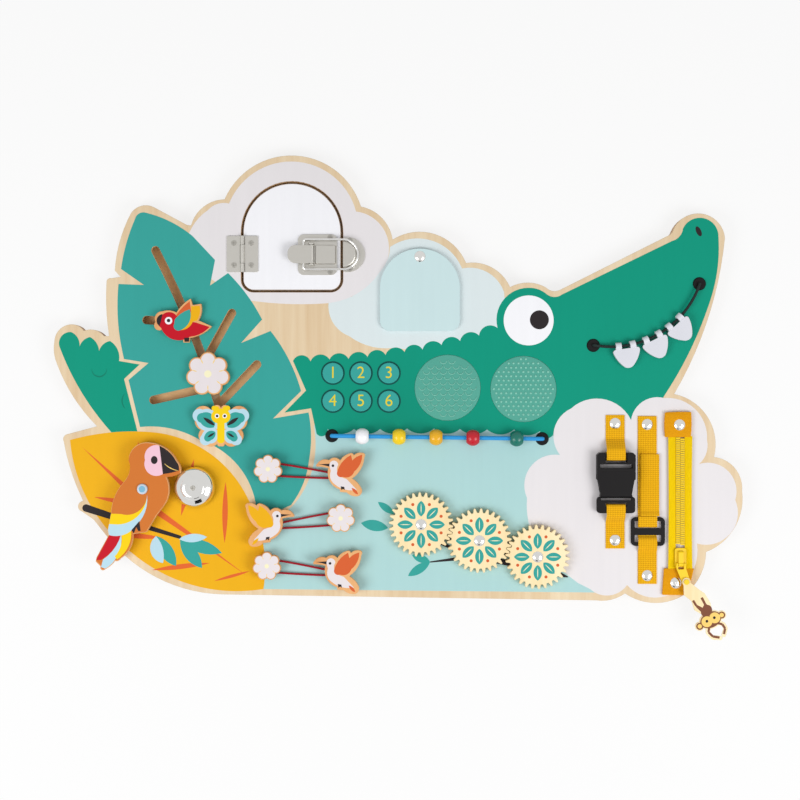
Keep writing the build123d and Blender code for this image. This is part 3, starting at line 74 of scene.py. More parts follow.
def tint(red, green, blue):
    linear = [(c / 255 / 12.92) if c <= 10 else ((c / 255 + 0.055) / 1.055) ** 2.4
              for c in (red, green, blue)]
    return (*linear, 1)


def darker(colour, share):
    return (*[c * share for c in colour[:3]], 1)


class Wire:  # a shader value that can stand in a sum
    def __init__(self, finish, socket):
        self.finish = finish
        self.socket = socket

    def held(self):
        return self.most(0).least(1)


def mathStep(operation, swapped=False):
    def step(one, other=0):
        first, second = (other, one) if swapped else (one, other)
        return one.finish.add("ShaderNodeMath", {"operation": operation}, {0: first, 1: second})
    return step


wireSteps = dict(
    __add__="ADD", __sub__="SUBTRACT", __mul__="MULTIPLY", __truediv__="DIVIDE", __gt__="GREATER_THAN",
    __lt__="LESS_THAN", __abs__="ABSOLUTE", least="MINIMUM", most="MAXIMUM", sine="SINE", root="SQRT")
for name, operation in wireSteps.items():
    setattr(Wire, name, mathStep(operation))
Wire.__rsub__ = mathStep("SUBTRACT", swapped=True)


class Finish:  # one material and the nodes that make it
    def __init__(self, name):
        self.material = bpy.data.materials.new(name)
        self.material.use_nodes = True
        tree = self.material.node_tree
        self.nodes, self.links = tree.nodes, tree.links
        self.nodes.clear()
        self.output = self.nodes.new("ShaderNodeOutputMaterial")
        self.shader = self.nodes.new("ShaderNodeBsdfPrincipled")
        self.links.new(self.shader.outputs[0], self.output.inputs[0])
        self.place = self.add("ShaderNodeTexCoord", out="Object")
        self.x, self.y, self.z = self.split(self.place)

    def add(self, kind, settings=None, inputs=None, out=0):
        made = self.nodes.new(kind)
        for name, value in (settings or {}).items():
            setattr(made, name, value)
        for name, value in (inputs or {}).items():
            self.feed(made.inputs[name], value)
        return Wire(self, made.outputs[out])

    def feed(self, socket, value):
        if isinstance(value, Wire):
            self.links.new(value.socket, socket)
        else:
            socket.default_value = value

    def set(self, **values):
        for name, value in values.items():
            self.feed(self.shader.inputs[name.replace("_", " ")], value)

    def split(self, vector):
        parts = self.nodes.new("ShaderNodeSeparateXYZ")
        self.links.new(vector.socket, parts.inputs[0])
        return [Wire(self, socket) for socket in parts.outputs]

    def mix(self, share, first, second):
        return self.add("ShaderNodeMix", {"data_type": "RGBA", "blend_type": "MIX"},
                        {0: share, 6: first, 7: second}, out=2)

    def scaled(self, x, y, z):  # place times three factors
        return self.add("ShaderNodeVectorMath", {"operation": "MULTIPLY"}, {0: self.place, 1: (x, y, z)})

    def noise(self, size, detail=2, vector=None, rough=0.5):
        return self.add("ShaderNodeTexNoise", {}, {"Vector": vector or self.place, "Scale": size,
                                                   "Detail": detail, "Roughness": rough})

    def bump(self, height, depth, strength=1, over=None):
        inputs = {"Height": height, "Distance": depth, "Strength": strength}
        if over:
            inputs["Normal"] = over
        return self.add("ShaderNodeBump", {}, inputs)

    def rounded(self, radius):
        return self.add("ShaderNodeBevel", {"samples": 4}, {"Radius": radius})

    def upright(self):  # 1 on faces that look sideways
        up = self.split(self.add("ShaderNodeTexCoord", out="Normal"))[2]
        return abs(up) < 0.7

    def nearRun(self, start, end):  # distance from a straight run, in metres
        (ax, ay), (bx, by) = [(x * mm, y * mm) for x, y in (start, end)]
        length = hypot(bx - ax, by - ay)
        ux, uy = (bx - ax) / length, (by - ay) / length
        along = ((self.x - ax) * ux + (self.y - ay) * uy).most(0).least(length)
        dx, dy = self.x - ax - along * ux, self.y - ay - along * uy
        return (dx * dx + dy * dy).root()

    def nearSpot(self, spot):
        dx, dy = self.x - spot[0] * mm, self.y - spot[1] * mm
        return (dx * dx + dy * dy).root()


# the two tan tones at the end go into the recesses; on their walls they are paler than the plies, painted
# light
woodPlan = dict(grainAcross=230, grainAlong=8, plyPitch=2.6, ply=tint(228, 194, 146),
                plyDark=tint(176, 128, 82), fibre=tint(128, 88, 52), recessTan=tint(240, 204, 152),
                recessTanDark=tint(204, 164, 114))


def birch(name, colour, dark, plies=True, recessTone=None):
    f = Finish(name)
    grain = f.noise(1, 4, f.scaled(woodPlan["grainAcross"], woodPlan["grainAlong"], 60), 0.6)
    broad = f.noise(1, 2, f.scaled(34, 2.5, 10))
    pores = f.noise(1, 2, f.scaled(1000, 50, 200))
    face = f.mix(((grain - 0.5) * 1.1 + (broad - 0.5) * 1.3 + 0.45).held(), colour, dark)
    face = f.mix((pores > 0.68) * 0.35, face, dark)
    if plies:
        wave = (f.z * (2 * pi / (woodPlan["plyPitch"] * mm)) + f.noise(60) * 0.6).sine()
        edge = f.mix(wave * 0.5 + 0.5, woodPlan["ply"], woodPlan["plyDark"])
        fibres = f.noise(1, 3, f.scaled(420, 420, 1400))
        edge = f.mix(fibres * 0.4, edge, woodPlan["fibre"])
        face = f.mix(f.upright(), face, edge)
    # recess walls and slot floors get the tan tones; on the walls these are paler than the plies, painted
    # light standing in for light bounced into the deep recesses
    if recessTone:
        face = f.mix(recessTone(f), face, f.mix(f.noise(90), woodPlan["recessTan"], woodPlan["recessTanDark"]))
    f.set(Base_Color=face, Roughness=grain * 0.18 + 0.44,
          Normal=f.bump(grain, 0.00008, 0.35, f.rounded(0.0006)), Specular_IOR_Level=0.3)
    return f.material


def paint(name, colour, gloss=0.45, shine=0.12, shade=None):
    f = Finish(name)
    grain = f.noise(1, 3, f.scaled(170, 9, 60), 0.6)
    cloud = f.noise(16, 3)
    face = f.mix((grain * 0.5 + cloud * 0.5).held(), colour, darker(colour, 0.9))
    if shade:
        face = f.mix(shade(f), face, darker(colour, 0.72))
    f.set(Base_Color=face, Roughness=f.noise(140) * 0.12 + gloss, Normal=f.bump(grain, 0.00004, 0.3),
          Specular_IOR_Level=shine)
    return f.material


def metal(name, colour, gloss=0.2, brushed=0, rim=0.0003):
    f = Finish(name)
    streak = f.noise(1, 3, f.scaled(90, 1800, 1800))
    haze = f.noise(220, 3)
    f.set(Base_Color=f.mix(haze * 0.5, colour, darker(colour, 0.88)),
          Roughness=haze * 0.08 + streak * brushed + gloss,
          Normal=f.bump(streak, 0.00002, 0.2 + brushed, f.rounded(rim)), Metallic=1)
    return f.material


def plastic(name, colour, gloss=0.35, shine=0.4, topHighlight=None):
    f = Finish(name)
    fine = f.noise(900, 2)
    face = f.mix(f.noise(60) * 0.4, colour, darker(colour, 0.84))
    if topHighlight:  # raised marks get a painted highlight, paler towards their tops
        low, high, pale = topHighlight
        face = f.mix(((f.z - low * mm) / ((high - low) * mm)).held(), face, pale)
    f.set(Base_Color=face, Roughness=fine * 0.12 + gloss,
          Normal=f.bump(fine, 0.00003, 0.4, f.rounded(0.0004)), Specular_IOR_Level=shine)
    return f.material


def webbing(name, colour, dark, pitch, yarns):
    f = Finish(name)
    rows = (f.y * (2 * pi / (pitch * mm))).sine()
    columns = (f.x * (2 * pi / (yarns * mm)) + rows * 0.9).sine()
    fuzz = f.noise(1100, 3)
    weave = rows * 0.28 + columns * 0.22 + 0.5
    shade = ((1 - weave) * 0.85 + (fuzz - 0.5) * 0.5).held()
    f.set(Base_Color=f.mix(shade, colour, dark), Roughness=fuzz * 0.15 + 0.72,
          Normal=f.bump(weave + fuzz * 0.3, 0.00025, 0.8),
          Sheen_Weight=0.04, Sheen_Roughness=0.5, Specular_IOR_Level=0.08)
    return f.material


def braid(name, colour, dark, pitch=1.6):
    f = Finish(name)
    turn = 2 * pi / (pitch * mm)
    one, other = ((f.x + f.y + f.z) * turn).sine(), ((f.x - f.y - f.z) * turn).sine()
    f.set(Base_Color=f.mix((one * other * 0.4 + 0.4).held(), colour, dark),
          Roughness=f.noise(800) * 0.2 + 0.6, Normal=f.bump(one * other, 0.0002, 0.6),
          Specular_IOR_Level=0.2)
    return f.material


# tan wood in the recesses, painted paler on their walls as painted light for light bounced into them: the box
# round the door's opening, the runs of the slots and half their width, in mm
openingPlan = dict(x=-92.4, half=44.8, low=75.5, high=172.8, floor=2.8)
slotPlan = dict(half=6.2, floor=2.9, runs=[
    ((-148.8, -22.6), (-156, 4)), ((-156, 4), (-168.8, 40)),
    ((-168.8, 40), (-188.6, 73)), ((-188.6, 73), (-211.6, 112.4)),
    ((-182.4, 49.7), (-219.3, 51.4)), ((-168.8, 14.5), (-144.9, 57.5)),
    ((-161.5, -6.6), (-213.2, -18.3)), ((-156.5, -22.6), (-123, 12.6))])
bellyPlan = dict(spot=onBoard(392, 428), reach=0.085, depth=0.55)  # a soft dark drift in the print


def inOpening(f):
    inside = abs(f.x - openingPlan["x"] * mm) < openingPlan["half"] * mm
    above = f.y > openingPlan["low"] * mm
    below = f.y < openingPlan["high"] * mm
    return inside * above * below * (f.z > openingPlan["floor"] * mm)


def inSlots(f):
    near = f.nearRun(*slotPlan["runs"][0])
    for run in slotPlan["runs"][1:]:
        near = near.least(f.nearRun(*run))
    return near < slotPlan["half"] * mm


# the walls of the slots and the door's opening, painted paler than the plies: painted light
def paleRecessWalls(f):
    return (inSlots(f).most(inOpening(f)) * f.upright()).held()


def slotFloorTan(f):  # the bottoms of the slots, in the recess tan tones
    return (inSlots(f) * (f.z > slotPlan["floor"] * mm)).held()


def bellyShade(f):
    away = f.nearSpot(bellyPlan["spot"]) / bellyPlan["reach"]
    return (1 - away).held() * bellyPlan["depth"]


colours = dict(
    green=(8, 150, 124), deepGreen=(14, 112, 98), teal=(56, 162, 154), deepTeal=(18, 84, 78),
    amber=(236, 176, 22), vein=(224, 104, 48), pond=(174, 213, 213), pale=(220, 231, 233),
    lilac=(231, 227, 229), ink=(44, 38, 40), white=(246, 246, 250), orange=(208, 118, 50),
    red=(196, 20, 38), yellow=(246, 208, 20), ice=(184, 218, 232), rose=(240, 196, 212),
    brown=(128, 80, 58), sand=(246, 208, 116), digit=(228, 208, 52), flapBlue=(203, 227, 229),
    coral=(214, 98, 52), petal=(230, 222, 224), cream=(246, 240, 200), charAndGapShade=(142, 106, 74),
    footLine=(16, 124, 102))
ink = {name: paint(name + "Print", tint(*rgb)) for name, rgb in colours.items() if name != "green"}
ink["green"] = paint("greenPrint", tint(*colours["green"]), shade=bellyShade)
panelWood = birch("birchPly", tint(230, 211, 179), tint(211, 182, 143), recessTone=paleRecessWalls)
backWood = birch("backPly", tint(234, 212, 176), tint(214, 180, 134), recessTone=slotFloorTan)
figureWood = birch("figureWood", tint(234, 180, 122), tint(208, 142, 86), plies=False)
gearWood = birch("gearWood", tint(248, 232, 190), tint(238, 212, 160), plies=False)
nickel = metal("nickel", tint(206, 203, 196), 0.24, 0.12)
polished = metal("polishedNickel", tint(238, 237, 234), 0.05, 0.01)
steel = metal("steel", tint(176, 173, 166), 0.3, 0.15)
blackPlastic = plastic("blackPlastic", tint(24, 22, 23), 0.4, 0.14)
whitePlastic = plastic("whitePlastic", tint(217, 218, 226), 0.4)
# the pad's relief carries a painted highlight, paler towards its tops
padRubber = plastic("padRubber", tint(84, 165, 148), 0.5, 0.2, topHighlight=(13.35, 13.75, tint(132, 197, 179)))
rubber = plastic("darkRubber", tint(50, 50, 52), 0.6)
zipPlastic = plastic("zipPlastic", tint(246, 206, 22), 0.32)
strapCloth = webbing("strapWebbing", tint(243, 186, 24), tint(196, 134, 6), 1.8, 2.1)
coverCloth = webbing("coverWebbing", tint(238, 168, 18), tint(200, 128, 6), 1.1, 0.9)
tapeCloth = webbing("tapeWeave", tint(250, 213, 6), tint(224, 182, 0), 0.8, 0.7)
blueCord = braid("blueCord", tint(58, 166, 232), tint(36, 136, 210))
redElastic = braid("redElastic", tint(182, 28, 46), tint(132, 14, 32), 1.1)
darkCord = braid("darkCord", tint(40, 52, 50), tint(22, 28, 28), 1.2)

pinPlan = dict(spot=(-221.2, -95.3), heart=2.9)  # the parrot's pin, with a blue heart in a pale rim
pinCap = Finish("bluePinCap")
atRim = pinCap.nearSpot(pinPlan["spot"]) > pinPlan["heart"] * mm
pinCap.set(Base_Color=pinCap.mix(atRim, tint(120, 176, 204), tint(196, 206, 218)),
           Roughness=pinCap.noise(300) * 0.1 + 0.25, Specular_IOR_Level=0.4)

cadFinish = {}
for finish, names in (
        (panelWood, "front_panel"), (backWood, "back_panel"), (ink["white"], "door"),
        (nickel, "hinge_leaf_frame hinge_leaf_door latch_base latch_lever latch_catch"),
        (steel, "hinge_pin door_screws panel_screws spacer_posts"),
        (polished, "latch_bail dome_rivets bell_dome"), (ink["flapBlue"], "swing_flap"),
        (figureWood, "bird_slider flower_slider butterfly_slider hummingbirds fixed_flowers parrot"),
        (pinCap.material, "parrot_pin"), (rubber, "button_springs"), (padRubber, "touch_pads"),
        (blackPlastic, "cord_grommets buckle_socket buckle_plug buckle_prongs strap_ring"),
        (zipPlastic, "zip_teeth zip_slider zip_pull"), (gearWood, "zip_tag gear_1 gear_2 gear_3"),
        (whitePlastic, "tooth_1 tooth_2 tooth_3"),
        (ink["teal"], "button_1 button_2 button_3 button_4 button_5 button_6")):
    cadFinish.update({name: finish for name in names.split()})
for number, name in enumerate(("white", "yellow", "amber", "red", "deepGreen"), start=1):
    cadFinish[f"bead_{number}"] = paint(f"{name}Bead", tint(*colours[name]), 0.16, 0.45)
for name, node in nodes.items():
    node.data.materials.clear()
    node.data.materials.append(cadFinish.get(name, strapCloth))
print("finishes ready")


def arcPoints(start, bulge, end):  # points on the arc through three points, without the first
    (ax, ay), (bx, by), (cx, cy) = start, bulge, end
    d = 2 * (ax * (by - cy) + bx * (cy - ay) + cx * (ay - by))
    if abs(d) < 1e-6:
        return [end]
    a, b, c = ax * ax + ay * ay, bx * bx + by * by, cx * cx + cy * cy
    ux = (a * (by - cy) + b * (cy - ay) + c * (ay - by)) / d
    uy = (a * (cx - bx) + b * (ax - cx) + c * (bx - ax)) / d
    radius = hypot(ax - ux, ay - uy)
    first, middle, last = (atan2(y - uy, x - ux) for x, y in (start, bulge, end))
    turn = (last - first) % (2 * pi)
    if (middle - first) % (2 * pi) > turn:
        turn -= 2 * pi
    count = max(3, int(abs(turn) / radians(8)), int(abs(turn) * radius / 5))
    return [polar((ux, uy), radius, first + turn * i / count) for i in range(1, count + 1)]


def shape(place, start, *steps):  # an outline of straight steps (x, y) and arcs ((bulge), (end))
    points, here = [], place(*start)
    for step in steps:
        if isinstance(step[0], tuple):
            points += arcPoints(here, place(*step[0]), place(*step[1]))
        else:
            points.append(place(*step))
        here = points[-1]
    return points if dist(points[-1], place(*start)) < 0.01 else points + [place(*start)]


def disc(place, x, y, wide, tall=None, turn=0):
    (x, y), wide, tall = place(x, y), wide * grid, (tall or wide) * grid
    c, s = cos(radians(turn)), sin(radians(turn))
    spread = [(wide * cos(i * pi / 24), tall * sin(i * pi / 24)) for i in range(48)]
    return [(x + a * c - b * s, y + a * s + b * c) for a, b in spread]


def lens(place, start, end, width):  # a leaf from point to point
    (ax, ay), (bx, by) = start, end
    length = hypot(bx - ax, by - ay)
    mx, my = (ax + bx) / 2, (ay + by) / 2
    nx, ny = (ay - by) / length * width / 2, (bx - ax) / length * width / 2
    return shape(place, start, ((mx + nx, my + ny), end), ((mx - nx, my - ny), start))


def bar(place, start, end, width, tip=None):  # a straight stroke, with another width at its end
    (ax, ay), (bx, by) = start, end
    length, tip = hypot(bx - ax, by - ay), width if tip is None else tip
    nx, ny = (ay - by) / length / 2, (bx - ax) / length / 2
    return shape(place, (ax + nx * width, ay + ny * width), (ax - nx * width, ay - ny * width),
                 (bx - nx * tip, by - ny * tip), (bx + nx * tip, by + ny * tip))


def scallops(corners, rise):
    steps = []
    for (ax, ay), (bx, by) in zip(corners, corners[1:]):
        length = hypot(bx - ax, by - ay)
        steps.append((((ax + bx) / 2 + (by - ay) / length * rise, (ay + by) / 2 - (bx - ax) / length * rise),
                      (bx, by)))
    return steps


def flower(spot, radius, rim, petals=7):  # the outline of round petals, drawn in by a rim
    petal = radius * 0.375
    reach, inner = radius - petal, petal - rim
    half = pi / petals
    notch = reach * cos(half) + sqrt(max(inner**2 - (reach * sin(half)) ** 2, 0))
    points = []
    for i in range(petals):
        at = pi / 2 + 2 * half * i
        ends = [polar(spot, notch, at + s * half) for s in (-1, 1)]
        points += arcPoints(ends[0], polar(spot, reach + inner, at), ends[1])
    return points


def folds(spot, radius, count=7):  # thin lines between the petals
    lines = []
    for i in range(count):
        at = pi / 2 + pi / count * (2 * i + 1)
        run = [polar(spot, radius * share, at) for share in (0.5, 0.74)]
        lines.append(lens(plain, *run, radius * 0.045))
    return lines


def alone(piece):
    bpy.ops.object.select_all(action="DESELECT")
    if piece:
        piece.select_set(True)
        bpy.context.view_layer.objects.active = piece


def edited(piece, **steps):  # steps of edit mode on the whole mesh
    alone(piece)
    bpy.ops.object.mode_set(mode="EDIT")
    bpy.ops.mesh.select_all(action="SELECT")
    for step, settings in steps.items():
        getattr(bpy.ops.mesh, step)(**settings)
    bpy.ops.object.mode_set(mode="OBJECT")
    return piece


def tidied(piece):  # doubles merged and faces turned outwards
    return edited(piece, remove_doubles=dict(threshold=0.000001), normals_make_consistent=dict(inside=False))


def linked(name, data):
    piece = bpy.data.objects.new(name, data)
    scene.collection.objects.link(piece)
    return piece


def drawn(name, runs, kind="POLY", closed=True, **settings):  # a mesh from runs of points in mm
    curve = bpy.data.curves.new(name, "CURVE")
    for setting, value in settings.items():
        setattr(curve, setting, value)
    for run in runs:
        line = curve.splines.new(kind)
        line.points.add(len(run) - 1)
        for point, (x, y, *rest) in zip(line.points, run):
            point.co = (x * mm, y * mm, rest[0] * mm if rest else 0, 1)
            if len(rest) > 1:
                point.radius = rest[1]
        line.use_cyclic_u = closed
        if kind == "NURBS":
            line.order_u = 3
            line.use_endpoint_u = not closed
    alone(linked(name, curve))
    bpy.ops.object.convert(target="MESH")
    return bpy.context.view_layer.objects.active


def applied(piece, kind, **settings):
    alone(piece)
    step = piece.modifiers.new(kind.lower(), kind)
    for name, value in settings.items():
        setattr(step, name, value)
    bpy.ops.object.modifier_apply(modifier=step.name)
    return piece


def softened(piece, edge, segments=3):
    return applied(piece, "BEVEL", width=edge * mm, segments=segments, angle_limit=radians(50))


def finished(piece, material, body=None, smooth=None):
    piece.data.materials.clear()
    piece.data.materials.append(material)
    if smooth:
        alone(piece)
        bpy.ops.object.shade_smooth_by_angle(angle=radians(smooth))
    if body:
        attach(piece, body)
    return piece


def plate(name, outlines, low, high):  # outlines that lie in each other are holes in each other
    piece = drawn(name, outlines, dimensions="2D", fill_mode="BOTH", extrude=(high - low) / 2 * mm)
    piece.data.transform(Matrix.Translation((0, 0, (low + high) / 2 * mm)))
    return tidied(piece)


def layFilm(name, outlines, level, material, body="board", top=faceTop, mask=None, ring=False):
    parts = []
    for group in [outlines] if ring else [[outline] for outline in outlines]:
        part = plate(name, group, top - film, top + film * (level + 1))
        if mask:
            applied(part, "BOOLEAN", operation="INTERSECT", solver="EXACT", object=mask)
        parts.append(part)
    piece = parts[0]
    for part in parts[1:]:  # outlines that overlap become one
        applied(piece, "BOOLEAN", operation="UNION", solver="EXACT", object=part)
        bpy.data.objects.remove(part)
    piece.name = name
    return finished(piece, material, body)


def layPrints(prints, body="board", top=faceTop, mask=None, ending=""):
    for name, level, colour, outlines in prints:
        layFilm(f"{name}{ending}", outlines, level, ink[colour], body, top, mask)


def slabOf(name, outline, low, high, material, edge, body="board"):  # a flat piece with softened edges
    piece = softened(plate(name, [outline], low, high), edge)
    return finished(tidied(piece), material, body, smooth=45)


def maskOf(source, lift, shrink=1, about=(0, 0)):  # a merged copy of a piece, to cut films with
    piece = edited(linked(source.name + "Mask", source.data.copy()), remove_doubles=dict(threshold=0.000002))
    middle = Vector((about[0] * mm, about[1] * mm, 0))
    piece.data.transform(Matrix.Translation(middle + Vector((0, 0, lift * mm)))
                         @ Matrix.Diagonal((shrink, shrink, 1, 1)) @ Matrix.Translation(-middle))
    return piece


backCusps = [(293, 361), (310.5, 361.5), (329.5, 359.5), (348.5, 359), (367.5, 357), (385.5, 355),
             (404.5, 352), (422.5, 349.5), (441.5, 345), (460, 341), (479, 335.5), (497.5, 328)]
bellyCusps = [(553, 435), (540, 431), (514, 429.5), (487, 429.5), (460, 429), (434, 428.5),
              (407, 428.5), (380, 429), (354, 429), (327.5, 429), (316.5, 433.5)]
boardPrints = [  # name, level, ink, outlines
    ("pond", 0, "pond", [shape(
        onBoard, (262, 589), (596, 592.5), (600, 440), (560, 425), (314, 425), (315.2, 436),
        ((311.5, 472), (296, 502)), ((289, 509), (278, 514)), (256, 520))]),
    ("upperCloud", 1, "lilac", [shape(
        onBoard, (186, 262), ((190, 231), (208, 210)), ((217, 204), (229, 203.5)),
        ((291, 161.5), (356, 211.5)), ((378, 222), (389, 247)), ((381, 275), (352, 296)),
        ((342, 301), (330, 303)), ((290, 304), (250, 300.5)), (220, 285))]),
    ("middleCloud", 2, "pale", [shape(
        onBoard, (390, 247), ((424, 238.8), (462, 268.5)), ((487, 272), (504, 292)), (508, 335),
        (440, 352), (392, 348), ((366, 345), (349, 336)), ((332, 321), (328.5, 303)),
        ((358, 293), (379, 273)), ((387, 261), (390, 247)))]),
    ("reptile", 2.5, "green", [shape(
        onBoard, (293, 361), *scallops(backCusps, 6), ((507, 296), (528.6, 287.8)),
        ((540, 290), (547, 294.5)), ((554, 297), (562, 294.5)), (672, 241), ((679, 237), (683, 228.5)),
        ((700, 217.8), (718.4, 237)), ((717.5, 268), (710, 301)), ((694, 342), (664, 396)), (640, 445),
        (556, 445), (553, 435), *scallops(bellyCusps, 5), (311, 408.3), (284.5, 412.5), (306, 390.5))]),
    ("tail", 1, "green", [shape(
        onBoard, (60, 348), ((62, 335.5), (71, 332)), ((76.8, 336.5), (79.5, 346.5)),
        ((84, 339.8), (90, 337)), ((95.8, 342), (99, 351)), ((104, 343.6), (110, 341)),
        ((116.5, 347.5), (119, 361)), (139.5, 364.5), (124, 379), (137.5, 432), (112, 433),
        ((82, 393), (60, 348)))]),
    ("rightCloud", 3, "lilac", [shape(
        onBoard, (560, 455), ((553.5, 433), (571, 408.5)), ((603, 399), (631, 420)),
        ((642, 402), (664, 398)), ((697, 411), (707, 440)), ((706, 454), (699, 464)),
        ((727, 470), (735.2, 500)), ((728, 536), (697, 543.5)), ((692, 573), (679, 589)),
        ((652, 597.5), (627, 585)), ((607, 595.5), (590, 589)), (578, 583), (565, 573),
        ((538, 546), (527, 498)), ((531, 466), (560, 455)))]),
    ("cutLeaf", 2, "teal", [shape(
        onBoard, (145.7, 212.7), ((170, 221.5), (192.5, 236)), (215, 260), (210, 285.5), (228, 273),
        ((247, 295), (262, 319.5)), (241, 343), (270.5, 331), ((289, 360), (301, 391)), (273, 418.5),
        (308.5, 412.5), ((311, 437), (309, 460)), ((303, 484), (291, 505)), (257, 520),
        ((240, 468), (200, 440)), ((175, 429.5), (140, 427)), (128.5, 380), (148.5, 363), (124, 359),
        ((118, 321), (118.5, 284)), (144, 285), (121, 269), ((127, 241), (135, 219)),
        ((139, 213.5), (145.7, 212.7)))]),
    ("roundLeaf", 3, "amber", [shape(
        onBoard, (70, 440), ((110, 432.5), (150, 432)), ((212, 455), (249, 501)), ((263, 543), (263.5, 589)),
        ((196, 586), (132, 553)), ((92, 508), (70, 440)))]),
    ("leafRibs", 4, "vein", [
        shape(onBoard, (82, 447), (123, 482), (189, 531.5), (247, 576), (188, 535), (121, 486)),
        lens(onBoard, (138, 441), (139.5, 470), 3.2), lens(onBoard, (194, 459), (181, 516), 6.5),
        lens(onBoard, (225.5, 482), (224.5, 543), 5.5), bar(onBoard, (154, 511), (188, 534), 3.6, 2.6),
        lens(onBoard, (94, 497), (146, 506), 4.5), lens(onBoard, (113, 534), (163, 538), 5),
        lens(onBoard, (152, 570), (210, 563), 5), lens(onBoard, (214, 581), (250, 571), 3)]),
    ("leafTwig", 5, "ink", [
        disc(onBoard, 86, 508, 3.7), bar(onBoard, (86, 508), (112, 516.5), 7.4, 6.4),
        bar(onBoard, (112, 516.5), (181, 537.5), 6.4, 3.4)]),
    ("twigLeaves", 6, "teal", [
        lens(onBoard, (180, 540), (222, 553), 13), lens(onBoard, (180, 540), (202, 568), 13),
        shape(onBoard, (156, 536), ((171, 546), (176, 566)), ((165, 560), (156, 536)))]),
    ("twigLightLeaves", 7, "ice", [
        lens(onBoard, (179, 539), (207, 537), 8.5),
        shape(onBoard, (156, 536), ((163, 549), (163, 563)), ((151, 553), (156, 536)))]),
    ("pondTwig", 4, "ink", [
        bar(onBoard, (430, 562), (476, 556.5), 1.2, 5), bar(onBoard, (476, 556.5), (548, 571), 5, 6.5),
        bar(onBoard, (548, 571), (568, 577), 11, 1), bar(onBoard, (430, 538), (452, 548), 4, 3)]),
    ("pondLeaves", 5, "teal", [
        lens(onBoard, (430, 562), (412, 555), 8), lens(onBoard, (430, 562), (408, 576), 9),
        lens(onBoard, (388, 528), (361, 523), 11), lens(onBoard, (394, 514), (378, 502), 7)]),
    ("footMarks", 5, "footLine", [
        shape(onBoard, (91.8, 368.5), ((99.3, 377.3), (106.5, 368)), ((99.3, 376), (91.8, 368.5))),
        shape(onBoard, (124.6, 393.5), ((121.4, 401), (125.6, 409)), ((122.6, 401), (124.6, 393.5)))]),
    ("eyeWhite", 4, "white", [disc(onBoard, 528.6, 320.4, 25)]),
    ("eyePupil", 5, "ink", [disc(onBoard, 539.3, 319.8, 9.5)]),
    ("nostril", 4, "ink", [disc(onBoard, 698.6, 231.3, 2.5, 5.3, 25)])]
mask = maskOf(nodes["front_panel"], 1)
layPrints(boardPrints, mask=mask, ending="Print")
bpy.data.objects.remove(mask)

buttonPlan = dict(columns=(-56.8, -32.4, -8), rows=(5.2, -19.2), ring=(10.4, 9.3), digit=14.6, top=14.61,
                  proud=0.03, thinned=0.06)
for index in range(6):
    x, y = buttonPlan["columns"][index % 3], buttonPlan["rows"][index // 3]
    # a dark teal ring round each button: painted shade for the shadow in the gap round the raised button
    layFilm(f"buttonRing{index + 1}", [disc(plain, x, y, r / grid) for r in buttonPlan["ring"]], 4,
            ink["deepTeal"], ring=True)
    words = bpy.data.curves.new("digit", "FONT")
    words.body, words.size = str(index + 1), buttonPlan["digit"] * mm
    words.align_x, words.align_y = "CENTER", "CENTER"
    words.extrude, words.offset = buttonPlan["proud"] * mm, -buttonPlan["thinned"] * mm
    alone(linked(f"digit{index + 1}", words))
    bpy.ops.object.convert(target="MESH")
    digit = bpy.context.view_layer.objects.active
    digit.data.transform(Matrix.Translation((x * mm, y * mm, buttonPlan["top"] * mm)))
    finished(tidied(digit), ink["digit"], f"button_{index + 1}")

doorPlan = dict(x=-92.4, foot=77.6, width=85, height=92.8, corner=9, gap=1.8, charAndGapShade=0.35)


def doorArch(grow):  # the door's outline, grown on every side
    x, foot, corner = doorPlan["x"], doorPlan["foot"] - grow, doorPlan["corner"] + grow
    width, height = doorPlan["width"] + 2 * grow, doorPlan["height"] + 2 * grow
    left, right, spring, near = x - width / 2, x + width / 2, foot + height - width / 2, corner * 0.2929
    return shape(plain, (left + corner, foot), (right - corner, foot),
                 ((right - near, foot + near), (right, foot + corner)), (right, spring),
                 ((x, foot + height), (left, spring)), (left, foot + corner),
                 ((left + near, foot + near), (left + corner, foot)))


# a brown ring round the door's gap, on the board and on the door: partly the char of the cut edge, partly
# painted gap shade that makes the narrow gap read wider
layFilm("doorCharAndGapShade", [doorArch(g) for g in (doorPlan["gap"] + doorPlan["charAndGapShade"], doorPlan["gap"])], 4,
        ink["charAndGapShade"], ring=True)
layFilm("doorEdgeCharAndGapShade", [doorArch(-g) for g in (0, doorPlan["charAndGapShade"])], 0, ink["charAndGapShade"], "door", ring=True)
print("board printed")


def shifted(dx, dy, mirror=None):
    def place(x, y):
        return onBoard((2 * mirror - x if mirror is not None else x) + dx, y + dy)
    return place


